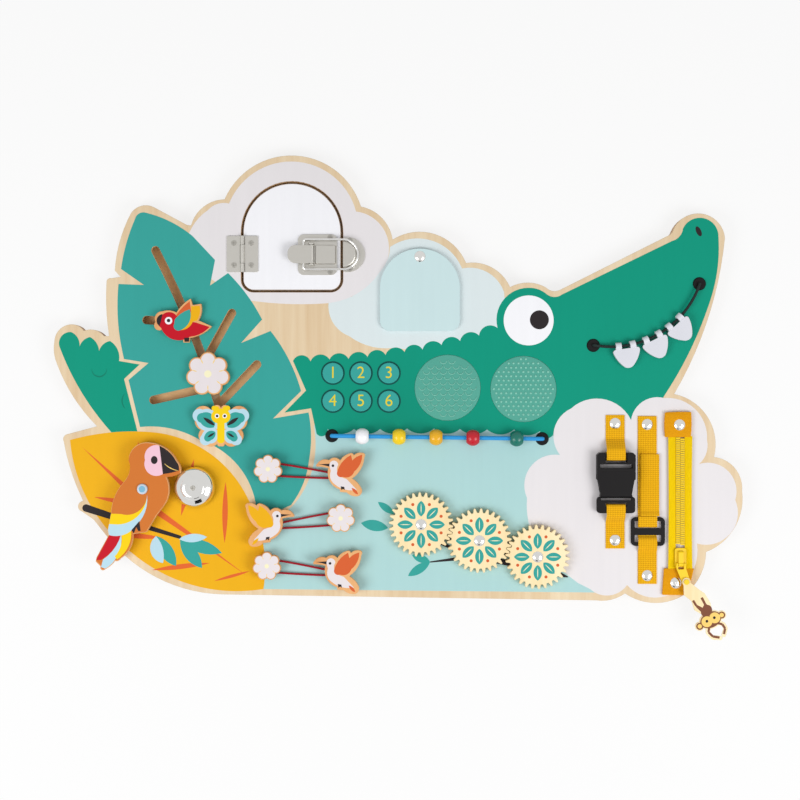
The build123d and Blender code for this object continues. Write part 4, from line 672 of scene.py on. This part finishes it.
birdAt = shifted(0.4, 0.6)
layPrints([
    ("birdBody", 0, "red", [shape(
        birdAt, (161.5, 327.5), ((158.5, 321), (162, 315.5)), ((169, 311.8), (177, 315.5)), (190, 321),
        (196, 322.2), (210, 326.6), ((199, 334.3), (190, 336.5)), ((172, 338.5), (161.5, 327.5)))]),
    ("birdOrange", 1, "coral", [shape(
        birdAt, (176, 315.8), ((182, 308), (190, 301)), (191.5, 312), (184, 316))]),
    ("birdAmber", 1, "amber", [shape(
        birdAt, (191.5, 306), (200, 305.5), ((200.2, 313), (197.5, 320)), (193, 321.5),
        ((189, 327), (181, 329.8)), ((188.5, 321), (191.5, 306)))]),
    ("birdTeal", 2, "teal", [shape(
        birdAt, (177, 317), ((184, 311.5), (190, 309)), ((189.5, 322), (180.5, 330)),
        ((175, 328.5), (174.8, 323)), ((175.2, 319.5), (177, 317)))]),
    ("birdDark", 2, "ink", [
        shape(birdAt, (163, 313.8), ((158, 317), (157.8, 323.5)), (159.8, 326), (161.3, 321.5)),
        shape(birdAt, (184.4, 337.4), (184.9, 341.4), (189.3, 341.4), (189.8, 337.2))]),
    ("birdEyeRing", 3, "white", [disc(birdAt, 169, 320.4, 3.7)]),
    ("birdEye", 4, "ink", [disc(birdAt, 169, 320.2, 1.8)])], "bird_slider", tops["slider"])

flowerPlan = dict(spot=(-165.2, 4.35), radius=19.2, rim=1.3, heart=3.6)
knobPlan = dict(spots=[(-112.7, -78.2), (-49.7, -120.8), (-113.7, -162.2)], radius=12.5, rim=0.9,
                heart=1.9 / grid, anchors=[(-59, -84), (-101.8, -127.6), (-61.6, -168.6)],
                loop=6.25, anchorLoop=2.6, loopZ=15.5, elastic=0.9)


def flowerPrints(name, spot, plan):
    return [(name + "Petals", 0, "petal", [flower(spot, plan["radius"], plan["rim"])]),
            (name + "Folds", 1, "sand", folds(spot, plan["radius"])),
            (name + "Heart", 1, "cream", [disc(plain, *spot, plan["heart"])])]


petals, lines, heart = flowerPrints("largeFlower", flowerPlan["spot"], flowerPlan)
layPrints([petals, heart, lines], "flower_slider", tops["slider"])

wings = [shifted(1.5, -0.4), shifted(1.5, -0.4, mirror=220)]
layPrints([
    ("butterflyWings", 0, "ice", [outline for place in wings for outline in (
        shape(place, (223.5, 421), ((228, 411), (238, 410)), ((247.5, 413), (244.5, 422)),
              ((240, 429), (226, 429.2)), (223.5, 429)),
        shape(place, (223.5, 430.6), ((235, 430.2), (239, 435.5)), ((240, 443), (231, 443.6)),
              ((225.5, 442), (223.5, 438))))]),
    ("butterflyPanels", 1, "teal", [outline for place in wings for outline in (
        shape(place, (225.5, 422.5), ((230.5, 413.6), (238.8, 413.4)), ((243.6, 416.8), (240.2, 423)),
              ((234.5, 427.6), (226.8, 427.6))),
        shape(place, (225.5, 432.3), ((232.5, 431.7), (236, 435.8)), ((235.5, 440.8), (230, 440.4)),
              ((226.3, 437.5), (225.5, 432.3))))]),
    ("butterflyMarks", 2, "ink", [outline for place in wings for outline in (
        lens(place, (225.8, 425.8), (237.6, 417.8), 3.8), lens(place, (226.2, 433.2), (233.4, 437.6), 2.2))]),
    ("butterflyBody", 3, "yellow", [shape(
        wings[0], (216.3, 440), ((220, 443.6), (223.7, 440)), (223.7, 423.5), ((229.5, 416.5), (226.5, 411)),
        ((229, 407.5), (225, 406.8)), ((222.5, 407.2), (221.8, 409.6)), ((220, 408.9), (218.2, 409.6)),
        ((217.5, 407.2), (215, 406.8)), ((211, 407.5), (213.5, 411)), ((210.5, 416.5), (216.3, 423.5)))]),
    ("butterflyEyeRings", 4, "white", [disc(wings[0], x, 416.3, 2.2) for x in (216.2, 223.8)]),
    ("butterflyEyes", 5, "ink", [disc(wings[0], x, 416.3, 1.3) for x in (216.2, 223.8)])],
    "butterfly_slider", tops["slider"])


def raised(level):  # a place on a top this high, as it is seen from above
    share = 1 - (level - faceTop) / (viewPlan["height"] / mm)
    middle = (viewPlan["x"] / mm, viewPlan["y"] / mm)

    def place(x, y):
        return tuple(m + (c - m) * share for m, c in zip(middle, onBoard(x, y)))
    return place


perchAt = raised(tops["parrot"])
parrotPlan = dict(foot=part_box("parrot")[0][2] / mm, edge=0.5, printShare=0.985, middle=(-231, -106))
parrotOutline = shape(
    perchAt, (128.6, 460), ((134.5, 447), (150.5, 442.6)), ((167, 449), (177, 461)),
    ((180.2, 467), (180.6, 473)), ((173, 476), (166, 476.5)), ((169, 490), (163.5, 506)), (155.5, 516.5),
    (146.5, 532), (132.5, 534), ((129, 549.5), (119.5, 559.5)), ((117, 561.3), (114.6, 560.6)),
    ((110, 566), (104.5, 569.8)), ((101.5, 570), (100.6, 566.5)), (95.6, 561.5), (96.4, 557.5),
    (108.4, 535.5), (107.6, 530.5), (111, 513), ((115, 495.5), (124.5, 481)), ((129.6, 471), (128.6, 460)))
parrotFigure = slabOf("parrotFigure", parrotOutline, parrotPlan["foot"], tops["parrot"], figureWood,
                      parrotPlan["edge"], "parrot")
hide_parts("parrot")
mask = maskOf(parrotFigure, 1, parrotPlan["printShare"], parrotPlan["middle"])
layPrints([
    ("parrotBody", 0, "orange", [shape(perchAt, (60, 430), (200, 430), (200, 600), (60, 600))]),
    ("parrotTailRed", 1, "red", [shape(
        perchAt, (110, 534), (121.2, 534), ((113, 550), (101, 560)), (96, 560))]),
    ("parrotTailPale", 1, "ice", [shape(
        perchAt, (121.2, 534), ((120, 549), (106, 569)), (101, 567), (103, 559.5),
        ((114, 549), (121.2, 534)))]),
    ("parrotTailYellow", 1.5, "yellow", [shape(
        perchAt, (121.2, 533.5), (131, 529), ((127, 549), (117, 559.5)), (114.5, 556.5),
        ((120, 548), (121.2, 533.5)))]),
    ("parrotBandYellow", 2, "yellow", [shape(
        perchAt, (147, 494.5), ((138, 511.5), (121, 514)), (108, 513.5), (107, 524), (118, 524.5),
        ((138, 516), (147, 494.5)))]),
    ("parrotBandPale", 2, "ice", [shape(
        perchAt, (147, 494.5), ((138, 516), (118, 524.5)), (107, 524), (106, 534),
        ((121, 535.5), (135.5, 526)), ((145, 512), (147, 494.5)))]),
    ("parrotFace", 3, "rose", [shape(
        perchAt, (159.3, 445.5), ((145.5, 452), (145, 460)), ((147, 471.5), (162.8, 474)))]),
    ("parrotBeak", 3, "ink", [
        shape(perchAt, (159.3, 445.5), ((172.5, 453), (179, 470.5)), ((171, 472.8), (162.8, 474))),
        shape(perchAt, (131.5, 530), (139.3, 521), (140.6, 531), (138.2, 531), (136.2, 527),
              (133.8, 533.5))]),
    ("parrotBeakLine", 4, "sand", [shape(
        perchAt, (164, 463.2), ((170, 468.4), (178.8, 470.8)), ((170, 467.4), (164, 463.2)))]),
    ("parrotEye", 4, "ink", [disc(perchAt, 154.2, 460, 3.3, 4)])], "parrot", tops["parrot"], mask)
bpy.data.objects.remove(mask)

hoverPlan = dict(foot=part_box("hummingbirds")[0][2] / mm, edge=0.5, drawnAt=(342, 474), birds=[
    ((342, 474), 1, "coral"), ((269.6, 524), -1, "amber"), ((339.1, 571), 1, "coral")])
for number, (spot, facing, wing) in enumerate(hoverPlan["birds"], start=1):
    def hover(x, y, spot=spot, facing=facing):
        drawnX, drawnY = hoverPlan["drawnAt"]
        return onBoard(spot[0] + (x - drawnX) * facing, spot[1] + y - drawnY)
    outline = shape(
        hover, (317.4, 463.6), ((322, 459.6), (329.5, 459.8)), ((334.5, 457.2), (340.5, 460)),
        ((344, 456), (350.6, 452.8)), ((352.6, 453), (354, 455)), ((358, 452.6), (362.4, 452.4)),
        ((364.8, 453.6), (364.6, 457)), ((361.5, 468), (352.4, 478)), ((358, 482.4), (361.8, 488)),
        ((361.8, 492.5), (358, 495.6)), ((351, 494.6), (346.8, 491.6)), (345.6, 491.8), (340.6, 491.2),
        (340, 488.8), ((331, 482), (328.8, 467.6)), ((324, 466.6), (318.6, 466)),
        ((316.6, 464.9), (317.4, 463.6)))
    figure = slabOf(f"hummingbird{number}", outline, hoverPlan["foot"], tops["knob"], figureWood,
                    hoverPlan["edge"])
    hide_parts("hummingbirds")
    layPrints([
        ("humBody", 0, "petal", [shape(
            hover, (330, 465.5), ((334, 460.2), (338.6, 464.5)), ((337.5, 471), (341, 476.5)),
            (347, 478.5), (357, 489.2), ((345, 488.8), (335, 483.5)), ((331, 478), (331.3, 470.5)))]),
        ("humWing", 1, wing, [
            shape(hover, (337.5, 471.5), ((341.5, 463), (351.2, 454.6)), (352.6, 460),
                  ((357, 456.4), (362.4, 454.4)), ((360.5, 463.5), (354.5, 471)),
                  ((349.5, 476.4), (343, 476.2)), ((338, 475), (337.5, 471.5))),
            lens(hover, (352, 487.2), (358.4, 493.8), 3)]),
        ("humDark", 2, "ink", [
            shape(hover, (319.4, 463.9), (330, 463.2), (329.8, 466.2), ((325, 464.9), (319.4, 463.9))),
            shape(hover, (341, 485.7), (344.6, 486.2), (345.2, 489.4), (343.4, 488.2), (341.8, 489.4)),
            disc(hover, 333.4, 465.2, 1.3)])], "board", tops["knob"], ending=number)
for number, spot in enumerate(knobPlan["spots"], start=1):
    layPrints(flowerPrints("knob", spot, knobPlan), "board", tops["knob"], ending=number)

gearPlan = dict(first=(20, -126.4), pitch=52.5, turn=-15.5, leaves=8, inner=7, outer=20.6, wide=7.4,
                vein=0.8, veinShort=2, budRing=18.8, bud=1.35)
for index in range(3):
    spot = polar(gearPlan["first"], gearPlan["pitch"] * index, radians(gearPlan["turn"]))
    inner, outer, short = gearPlan["inner"], gearPlan["outer"], gearPlan["veinShort"]
    leaves, veins, buds = [], [], []
    for i in range(gearPlan["leaves"]):  # a ring of leaves with a bud in each gap
        at = 2 * pi * i / gearPlan["leaves"]
        between = at + pi / gearPlan["leaves"]
        ends = [polar(spot, radius, at) for radius in (inner, inner + short, outer - short, outer)]
        leaves.append(lens(plain, ends[0], ends[3], gearPlan["wide"]))
        veins.append(lens(plain, ends[1], ends[2], gearPlan["vein"]))
        buds.append(disc(plain, *polar(spot, gearPlan["budRing"], between), gearPlan["bud"] / grid))
    layPrints([("gearLeaves", 0, "teal", leaves), ("gearVeins", 1, "cream", veins),
               ("gearBuds", 1, "coral", buds)], f"gear_{index + 1}", tops["gear"], ending=index + 1)


tagPin = (250, -176)


def tagAt(x, y):  # mm from the tag's pin
    return (tagPin[0] + x, tagPin[1] + y)


layPrints([
    ("tagLimbs", 0, "brown", [
        bar(tagAt, (13, -13.5), (16.2, -19.6), 2.2), bar(tagAt, (16.2, -19.6), (17.6, -23), 2.6, 4.6),
        bar(tagAt, (5.6, -16), (8.4, -20.6), 2), bar(tagAt, (8.4, -20.6), (15.2, -25.4), 2, 4.6),
        bar(tagAt, (25.6, -35.3), (31, -36.6), 2), bar(tagAt, (31, -36.6), (33.4, -40.3), 2),
        bar(tagAt, (33.4, -40.3), (32.4, -45.2), 2), bar(tagAt, (19.8, -38.2), (18.9, -43.4), 2),
        bar(tagAt, (18.9, -43.4), (22.8, -47.2), 2), bar(tagAt, (22.8, -47.2), (28.6, -48.2), 2),
        shape(tagAt, (14.6, -20.6), ((20.6, -20.8), (20.8, -27.6)), ((16, -30.4), (12.4, -26.4)))]),
    ("tagHead", 1, "brown", [
        disc(tagAt, 20.9, -32.7, 9.6 / grid, 6.8 / grid, 26.6),
        disc(tagAt, 11.4, -38.4, 3.1 / grid), disc(tagAt, 30.4, -28.6, 3.1 / grid)]),
    ("tagFace", 2, "sand", [
        disc(tagAt, 17.6, -34.4, 4.7 / grid), disc(tagAt, 24.4, -31, 4.7 / grid),
        disc(tagAt, 11.4, -38.4, 1.9 / grid), disc(tagAt, 30.4, -28.6, 1.9 / grid)]),
    ("tagEyes", 3, "ink", [disc(tagAt, 17.6, -34, 1.2 / grid), disc(tagAt, 24, -30.9, 1.2 / grid)])],
    "zip_tag", tops["tag"])
print("figures printed")


def bent(points, radius):  # a path with its corners rounded
    rounded = [points[0]]
    for before, corner, after in zip(points, points[1:], points[2:]):
        runs = [(before[0] - corner[0], before[1] - corner[1]), (after[0] - corner[0], after[1] - corner[1])]
        ends = []
        for dx, dy in runs:
            length = hypot(dx, dy)
            step = min(radius, length / 2)
            ends.append((corner[0] + dx / length * step, corner[1] + dy / length * step))
        for i in range(7):
            t = i / 6
            rounded.append(tuple((1 - t) ** 2 * a + 2 * t * (1 - t) * c + t * t * b
                                 for a, c, b in zip(ends[0], corner, ends[1])))
    rounded.append(points[-1])
    filled = [rounded[0]]
    for a, b in zip(rounded, rounded[1:]):
        count = max(1, round(dist(a, b) / 2))
        filled += [(a[0] + (b[0] - a[0]) * i / count, a[1] + (b[1] - a[1]) * i / count)
                   for i in range(1, count + 1)]
    return filled


strapPlan = dict(width=16.4, thick=1, bend=1.4, edge=0.22, buckleX=189.2, gripX=217.2, flapX=219.2)


def strap(name, x, path, node, body=None):  # the path is in Y and Z
    piece = drawn(name, [bent(path, strapPlan["bend"])], closed=False, dimensions="2D",
                  extrude=strapPlan["width"] / 2 * mm)
    piece.data.transform(Matrix(((0, 0, 1, x * mm), (1, 0, 0, 0), (0, 1, 0, 0), (0, 0, 0, 1))))
    tidied(piece)
    applied(piece, "SOLIDIFY", thickness=strapPlan["thick"] * mm, offset=0)
    softened(piece, strapPlan["edge"], segments=2)
    finished(tidied(piece), strapCloth, body, 40)
    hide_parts(node)
    return piece


strap("upperBuckleStrap", strapPlan["buckleX"], [
    (-31.4, 13.6), (-52.1, 13.6), (-61.1, 21.3), (-70.1, 21.3), (-71.1, 14.9), (-63.6, 14.9)],
    "buckle_strap_upper", "board")
loose = strap("lowerBuckleStrap", strapPlan["buckleX"], [
    (-147.7, 13.6), (-124.6, 13.6), (-118.6, 20.6), (-109.7, 20.6), (-108.7, 15.6), (-115.1, 15.6)],
    "buckle_strap_lower")
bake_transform(loose)
strap("upperGripStrap", strapPlan["gripX"], [
    (-32.3, 13.6), (-129, 13.6), (-128.4, 16.6), (-119.65, 16.6)], "grip_strap_upper", "board")
strap("gripFlap", strapPlan["flapX"], [
    (-119.35, 16.6), (-117.85, 16.6), (-115.25, 14.9), (-65.4, 14.9)], "grip_flap", "grip_flap")
strap("lowerGripStrap", strapPlan["gripX"], [
    (-178.6, 13.6), (-150.35, 13.6), (-146.75, 16.6), (-139.3, 16.6), (-136.9, 13.6), (-130.5, 13.6)],
    "grip_strap_lower", "board")

zipPlan = dict(x=245.6, inner=3.85, outer=10.6, low=15.2, high=15.8, foot=-165.6, head=-49.6, edge=0.2,
               bow=0.5, bowY=-110, coverLow=13.1, coverHigh=16.1, coverEdge=0.8)
foot, head = zipPlan["foot"], zipPlan["head"]
zipParts = []  # name, outline, low, high, cloth, edge
for name, side in (("leftZipTape", -1), ("rightZipTape", 1)):
    inner, outer = [zipPlan["x"] + side * zipPlan[key] for key in ("inner", "outer")]
    zipParts.append((name, shape(
        plain, (inner, foot), (inner, head), (outer, head),
        ((outer - side * zipPlan["bow"], zipPlan["bowY"]), (outer, foot))),
        zipPlan["low"], zipPlan["high"], tapeCloth, zipPlan["edge"]))
for name, outline in (
        ("upperZipCover", shape(plain, (232.5, -50.6), ((231.9, -40), (232.6, -29.2)),
                                ((244, -28.6), (255.1, -28.8)), ((255.5, -40), (254.8, -50.6)))),
        ("lowerZipCover", shape(plain, (231.5, -164.8), (257.6, -164.8), (254.6, -177.9), (249, -188.2),
                                (229.9, -188)))):
    zipParts.append((name, outline, zipPlan["coverLow"], zipPlan["coverHigh"], coverCloth,
                     zipPlan["coverEdge"]))
for part in zipParts:
    piece = slabOf(*part)
    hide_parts("zip_tape")


def cordPiece(name, points, radius, material, node, closed=False):
    piece = drawn(name, [points], "NURBS", closed, dimensions="3D", bevel_depth=radius * mm,
                  bevel_resolution=4, resolution_u=8, use_fill_caps=True)
    finished(tidied(piece), material, "board", 50)
    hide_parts(node)


cordPiece("railCord", [
    (-57.6, -49.4, 7.5), (-57.6, -49.4, 17.4), (-57.3, -49.4, 20.2), (-54, -49.45, 20.35),
    (-46, -49.57, 20.3), (34, -50.7, 20.3), (114, -51.83, 20.3), (122, -51.95, 20.35),
    (125.3, -52, 20.2), (125.6, -52, 17.4), (125.6, -52, 7.5)], 1.8, blueCord,
    "abacus_cord")

mouthPlan = dict(centre=(185.6, 109.3), radius=81.4, start=-100.9, end=-18.8, lead=1.9, steps=16, z=17,
                 cord=1.25, drop=(7.5, 14.6, 16.9))


def onMouth(angle, z=mouthPlan["z"]):
    return (*polar(mouthPlan["centre"], mouthPlan["radius"], radians(angle)), z)


sweep = mouthPlan["end"] - mouthPlan["start"] - 2 * mouthPlan["lead"]
course = [onMouth(mouthPlan["start"], z) for z in mouthPlan["drop"]]
course += [onMouth(mouthPlan["start"] + mouthPlan["lead"] + sweep * i / mouthPlan["steps"])
           for i in range(mouthPlan["steps"] + 1)]
course += [onMouth(mouthPlan["end"], z) for z in reversed(mouthPlan["drop"])]
cordPiece("mouthCord", course, mouthPlan["cord"], darkCord, "mouth_cord")

for number, (knob, anchor) in enumerate(zip(knobPlan["spots"], knobPlan["anchors"]), start=1):
    heading = atan2(anchor[1] - knob[1], anchor[0] - knob[0])

    def around(spot, radius, angles, reach, heading=heading):
        out = radius / cos(radians(reach))
        return [(*polar(spot, out, heading + radians(a)), knobPlan["loopZ"]) for a in angles]
    loop = around(anchor, knobPlan["anchorLoop"], (-65, -22, 22, 65), 22)
    loop += around(knob, knobPlan["loop"], (112, 157, 202, 247), 23)
    cordPiece(f"elasticLoop{number}", loop, knobPlan["elastic"], redElastic, "elastic_loops",
              closed=True)
print("straps and cords made")

padPlan = dict(radius=28.8, play=0.05, low=11.5, high=13.3, edge=0.5, dotPitch=4.3, dotRowShare=0.866,
               dotRadius=1.15, scalePitch=7.4, scaleRow=4.6, scaleThick=0.42)
low, high = padPlan["low"], padPlan["high"]
alone(None)
bpy.ops.mesh.primitive_uv_sphere_add(segments=10, ring_count=6, radius=padPlan["dotRadius"] * mm)
dot = bpy.context.object
edited(dot, bisect=dict(plane_co=(0, 0, -0.0001), plane_no=(0, 0, 1), clear_inner=True, use_fill=True))
dot.data.transform(Matrix.Diagonal((1, 1, 0.5, 1)))
ridge = drawn("ridge", [[(-3.2, 1.2, 0, 0.6), (-2.6, -1.2, 0, 1), (0, -2.4, 0, 1.1), (2.6, -1.2, 0, 1),
                         (3.2, 1.2, 0, 0.6)]], "NURBS", False, dimensions="3D",
              bevel_depth=padPlan["scaleThick"] * mm, bevel_resolution=2, use_fill_caps=True)

for name, spot, part, pitch, row, margin, lift in (
        ("scalePad", (43.2, -7.6), ridge, padPlan["scalePitch"], padPlan["scaleRow"], 4.4, 0),
        ("dotPad", (109.3, -8.7), dot, padPlan["dotPitch"],
         padPlan["dotPitch"] * padPlan["dotRowShare"], 2.6, 0.02)):
    reach = padPlan["radius"] - margin
    rows = int(reach / row) + 1
    relief = []
    for j in range(-rows, rows + 1):
        for i in range(-14, 15):
            x, y = (i + 0.5 * (j % 2)) * pitch, j * row
            if hypot(x, y) < reach:
                place = ((spot[0] + x) * mm, (spot[1] + y) * mm, (high + lift) * mm)
                twin = linked(part.name, part.data.copy())
                twin.data.transform(Matrix.Translation(place))
                relief.append(twin)
    bpy.data.objects.remove(part)
    alone(None)
    bpy.ops.mesh.primitive_cylinder_add(
        vertices=96, radius=(padPlan["radius"] - padPlan["play"]) * mm, depth=(high - low) * mm,
        location=(spot[0] * mm, spot[1] * mm, (high + low) / 2 * mm))
    pad = bpy.context.object
    bpy.ops.object.transform_apply(location=True)
    softened(pad, padPlan["edge"])
    alone(pad)
    for twin in relief:
        twin.select_set(True)
    bpy.ops.object.join()
    pad.name = name
    finished(tidied(pad), padRubber, "board", 50)
    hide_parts("touch_pads")

bellPlan = dict(centre=(-177, -94.2), thick=0.7, profile=[  # radius and height
    (17.9, 16), (17.8, 17.6), (17.2, 20.2), (15.8, 22.8), (13.9, 24.4), (11.6, 25.4), (10.6, 26.1),
    (9.8, 27.2), (8.6, 27.7), (6.2, 28.1), (5.4, 27.9), (3, 28.2), (1.3, 28.3)])
bellMesh = bpy.data.meshes.new("bell")
cx, cy = bellPlan["centre"]
bellMesh.from_pydata([((cx + r) * mm, cy * mm, z * mm) for r, z in bellPlan["profile"]],
                     [(i, i + 1) for i in range(len(bellPlan["profile"]) - 1)], [])
bell = linked("bellCup", bellMesh)
edited(bell, spin=dict(steps=72, angle=2 * pi, center=(cx * mm, cy * mm, 0), axis=(0, 0, 1)))
tidied(bell)
applied(bell, "SOLIDIFY", thickness=bellPlan["thick"] * mm, offset=-1)
finished(bell, polished, "board", 35)
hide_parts("bell_dome")
print("pads and bell made")

camera = bpy.data.cameras.new("camera")
viewer = linked("camera", camera)
scene.camera = viewer
camera.lens = 36 * viewPlan["height"] / viewPlan["seen"]
viewer.location = (viewPlan["x"], viewPlan["y"], viewPlan["height"] + faceTop * mm)

floorPlan = dict(size=14, drop=0.0005, glow=0.8)
alone(None)
bpy.ops.mesh.primitive_plane_add(size=floorPlan["size"])
floor = bpy.context.object
floor.data.transform(Matrix.Translation((0, 0, -floorPlan["drop"])))
floor.name = "floor"
paper = Finish("paper")
paper.set(Base_Color=(0.8, 0.8, 0.8, 1), Roughness=0.9, Specular_IOR_Level=0)
seen = paper.add("ShaderNodeLightPath", out="Is Camera Ray")
for ray in ("Is Glossy Ray", "Is Transmission Ray"):
    seen = seen + paper.add("ShaderNodeLightPath", out=ray)
white = paper.add("ShaderNodeEmission", {}, {"Color": (1, 1, 1, 1), "Strength": 1.0})
both = paper.add("ShaderNodeMixShader", {}, {
    0: seen * floorPlan["glow"], 1: Wire(paper, paper.shader.outputs[0]), 2: white})
paper.links.new(both.socket, paper.output.inputs[0])
floor.data.materials.append(paper.material)

world = bpy.data.worlds.new("studio")
scene.world = world
world.use_nodes = True
tree = world.node_tree
soft = tree.nodes["Background"]
lampPlan = dict(worldStrength=0.48, sideSize=0.7, sidePower=8.2, height=0.95, reach=0.85, back=0.45, aim=0.15)
soft.inputs[0].default_value = (1, 1, 1, 1)
soft.inputs[1].default_value = lampPlan["worldStrength"]
room = tree.nodes.new("ShaderNodeBackground")  # the pale room that the camera and polished metal see
path = tree.nodes.new("ShaderNodeLightPath")
shown = tree.nodes.new("ShaderNodeMath")
shown.operation = "MAXIMUM"
swapped = tree.nodes.new("ShaderNodeMixShader")
for output, socket in (
        (path.outputs["Is Camera Ray"], shown.inputs[0]), (path.outputs["Is Glossy Ray"], shown.inputs[1]),
        (shown.outputs[0], swapped.inputs[0]), (soft.outputs[0], swapped.inputs[1]),
        (room.outputs[0], swapped.inputs[2]), (swapped.outputs[0], tree.nodes["World Output"].inputs[0])):
    tree.links.new(output, socket)

cardPlan = dict(spot=(0, -0.95, 0.5), wide=0.42, tall=0.3)  # a dark board that only reflections show
alone(None)
bpy.ops.mesh.primitive_plane_add(size=1)
darkCard = bpy.context.object
darkCard.name = "darkCard"
spot = Vector(cardPlan["spot"])
turned = spot.to_track_quat("Z", "Y").to_matrix().to_4x4()
darkCard.data.transform(Matrix.Translation(spot) @ turned
                        @ Matrix.Diagonal((cardPlan["wide"], cardPlan["tall"], 1, 1)))
darkCard.visible_camera = darkCard.visible_diffuse = darkCard.visible_shadow = False
black = Finish("blackCard")
black.set(Base_Color=(0.01, 0.01, 0.01, 1), Roughness=1, Specular_IOR_Level=0)
darkCard.data.materials.append(black.material)
for side in (-1, 1):
    lamp = bpy.data.lights.new("softbox", "AREA")
    lamp.shape, lamp.size, lamp.energy = "SQUARE", lampPlan["sideSize"], lampPlan["sidePower"]
    holder = linked("softbox", lamp)
    holder.location = (side * lampPlan["reach"], -lampPlan["back"], lampPlan["height"])
    aim = Vector((side * lampPlan["aim"], 0, 0)) - holder.location
    holder.rotation_euler = aim.to_track_quat("-Z", "Y").to_euler()
scene.view_settings.view_transform = "Standard"
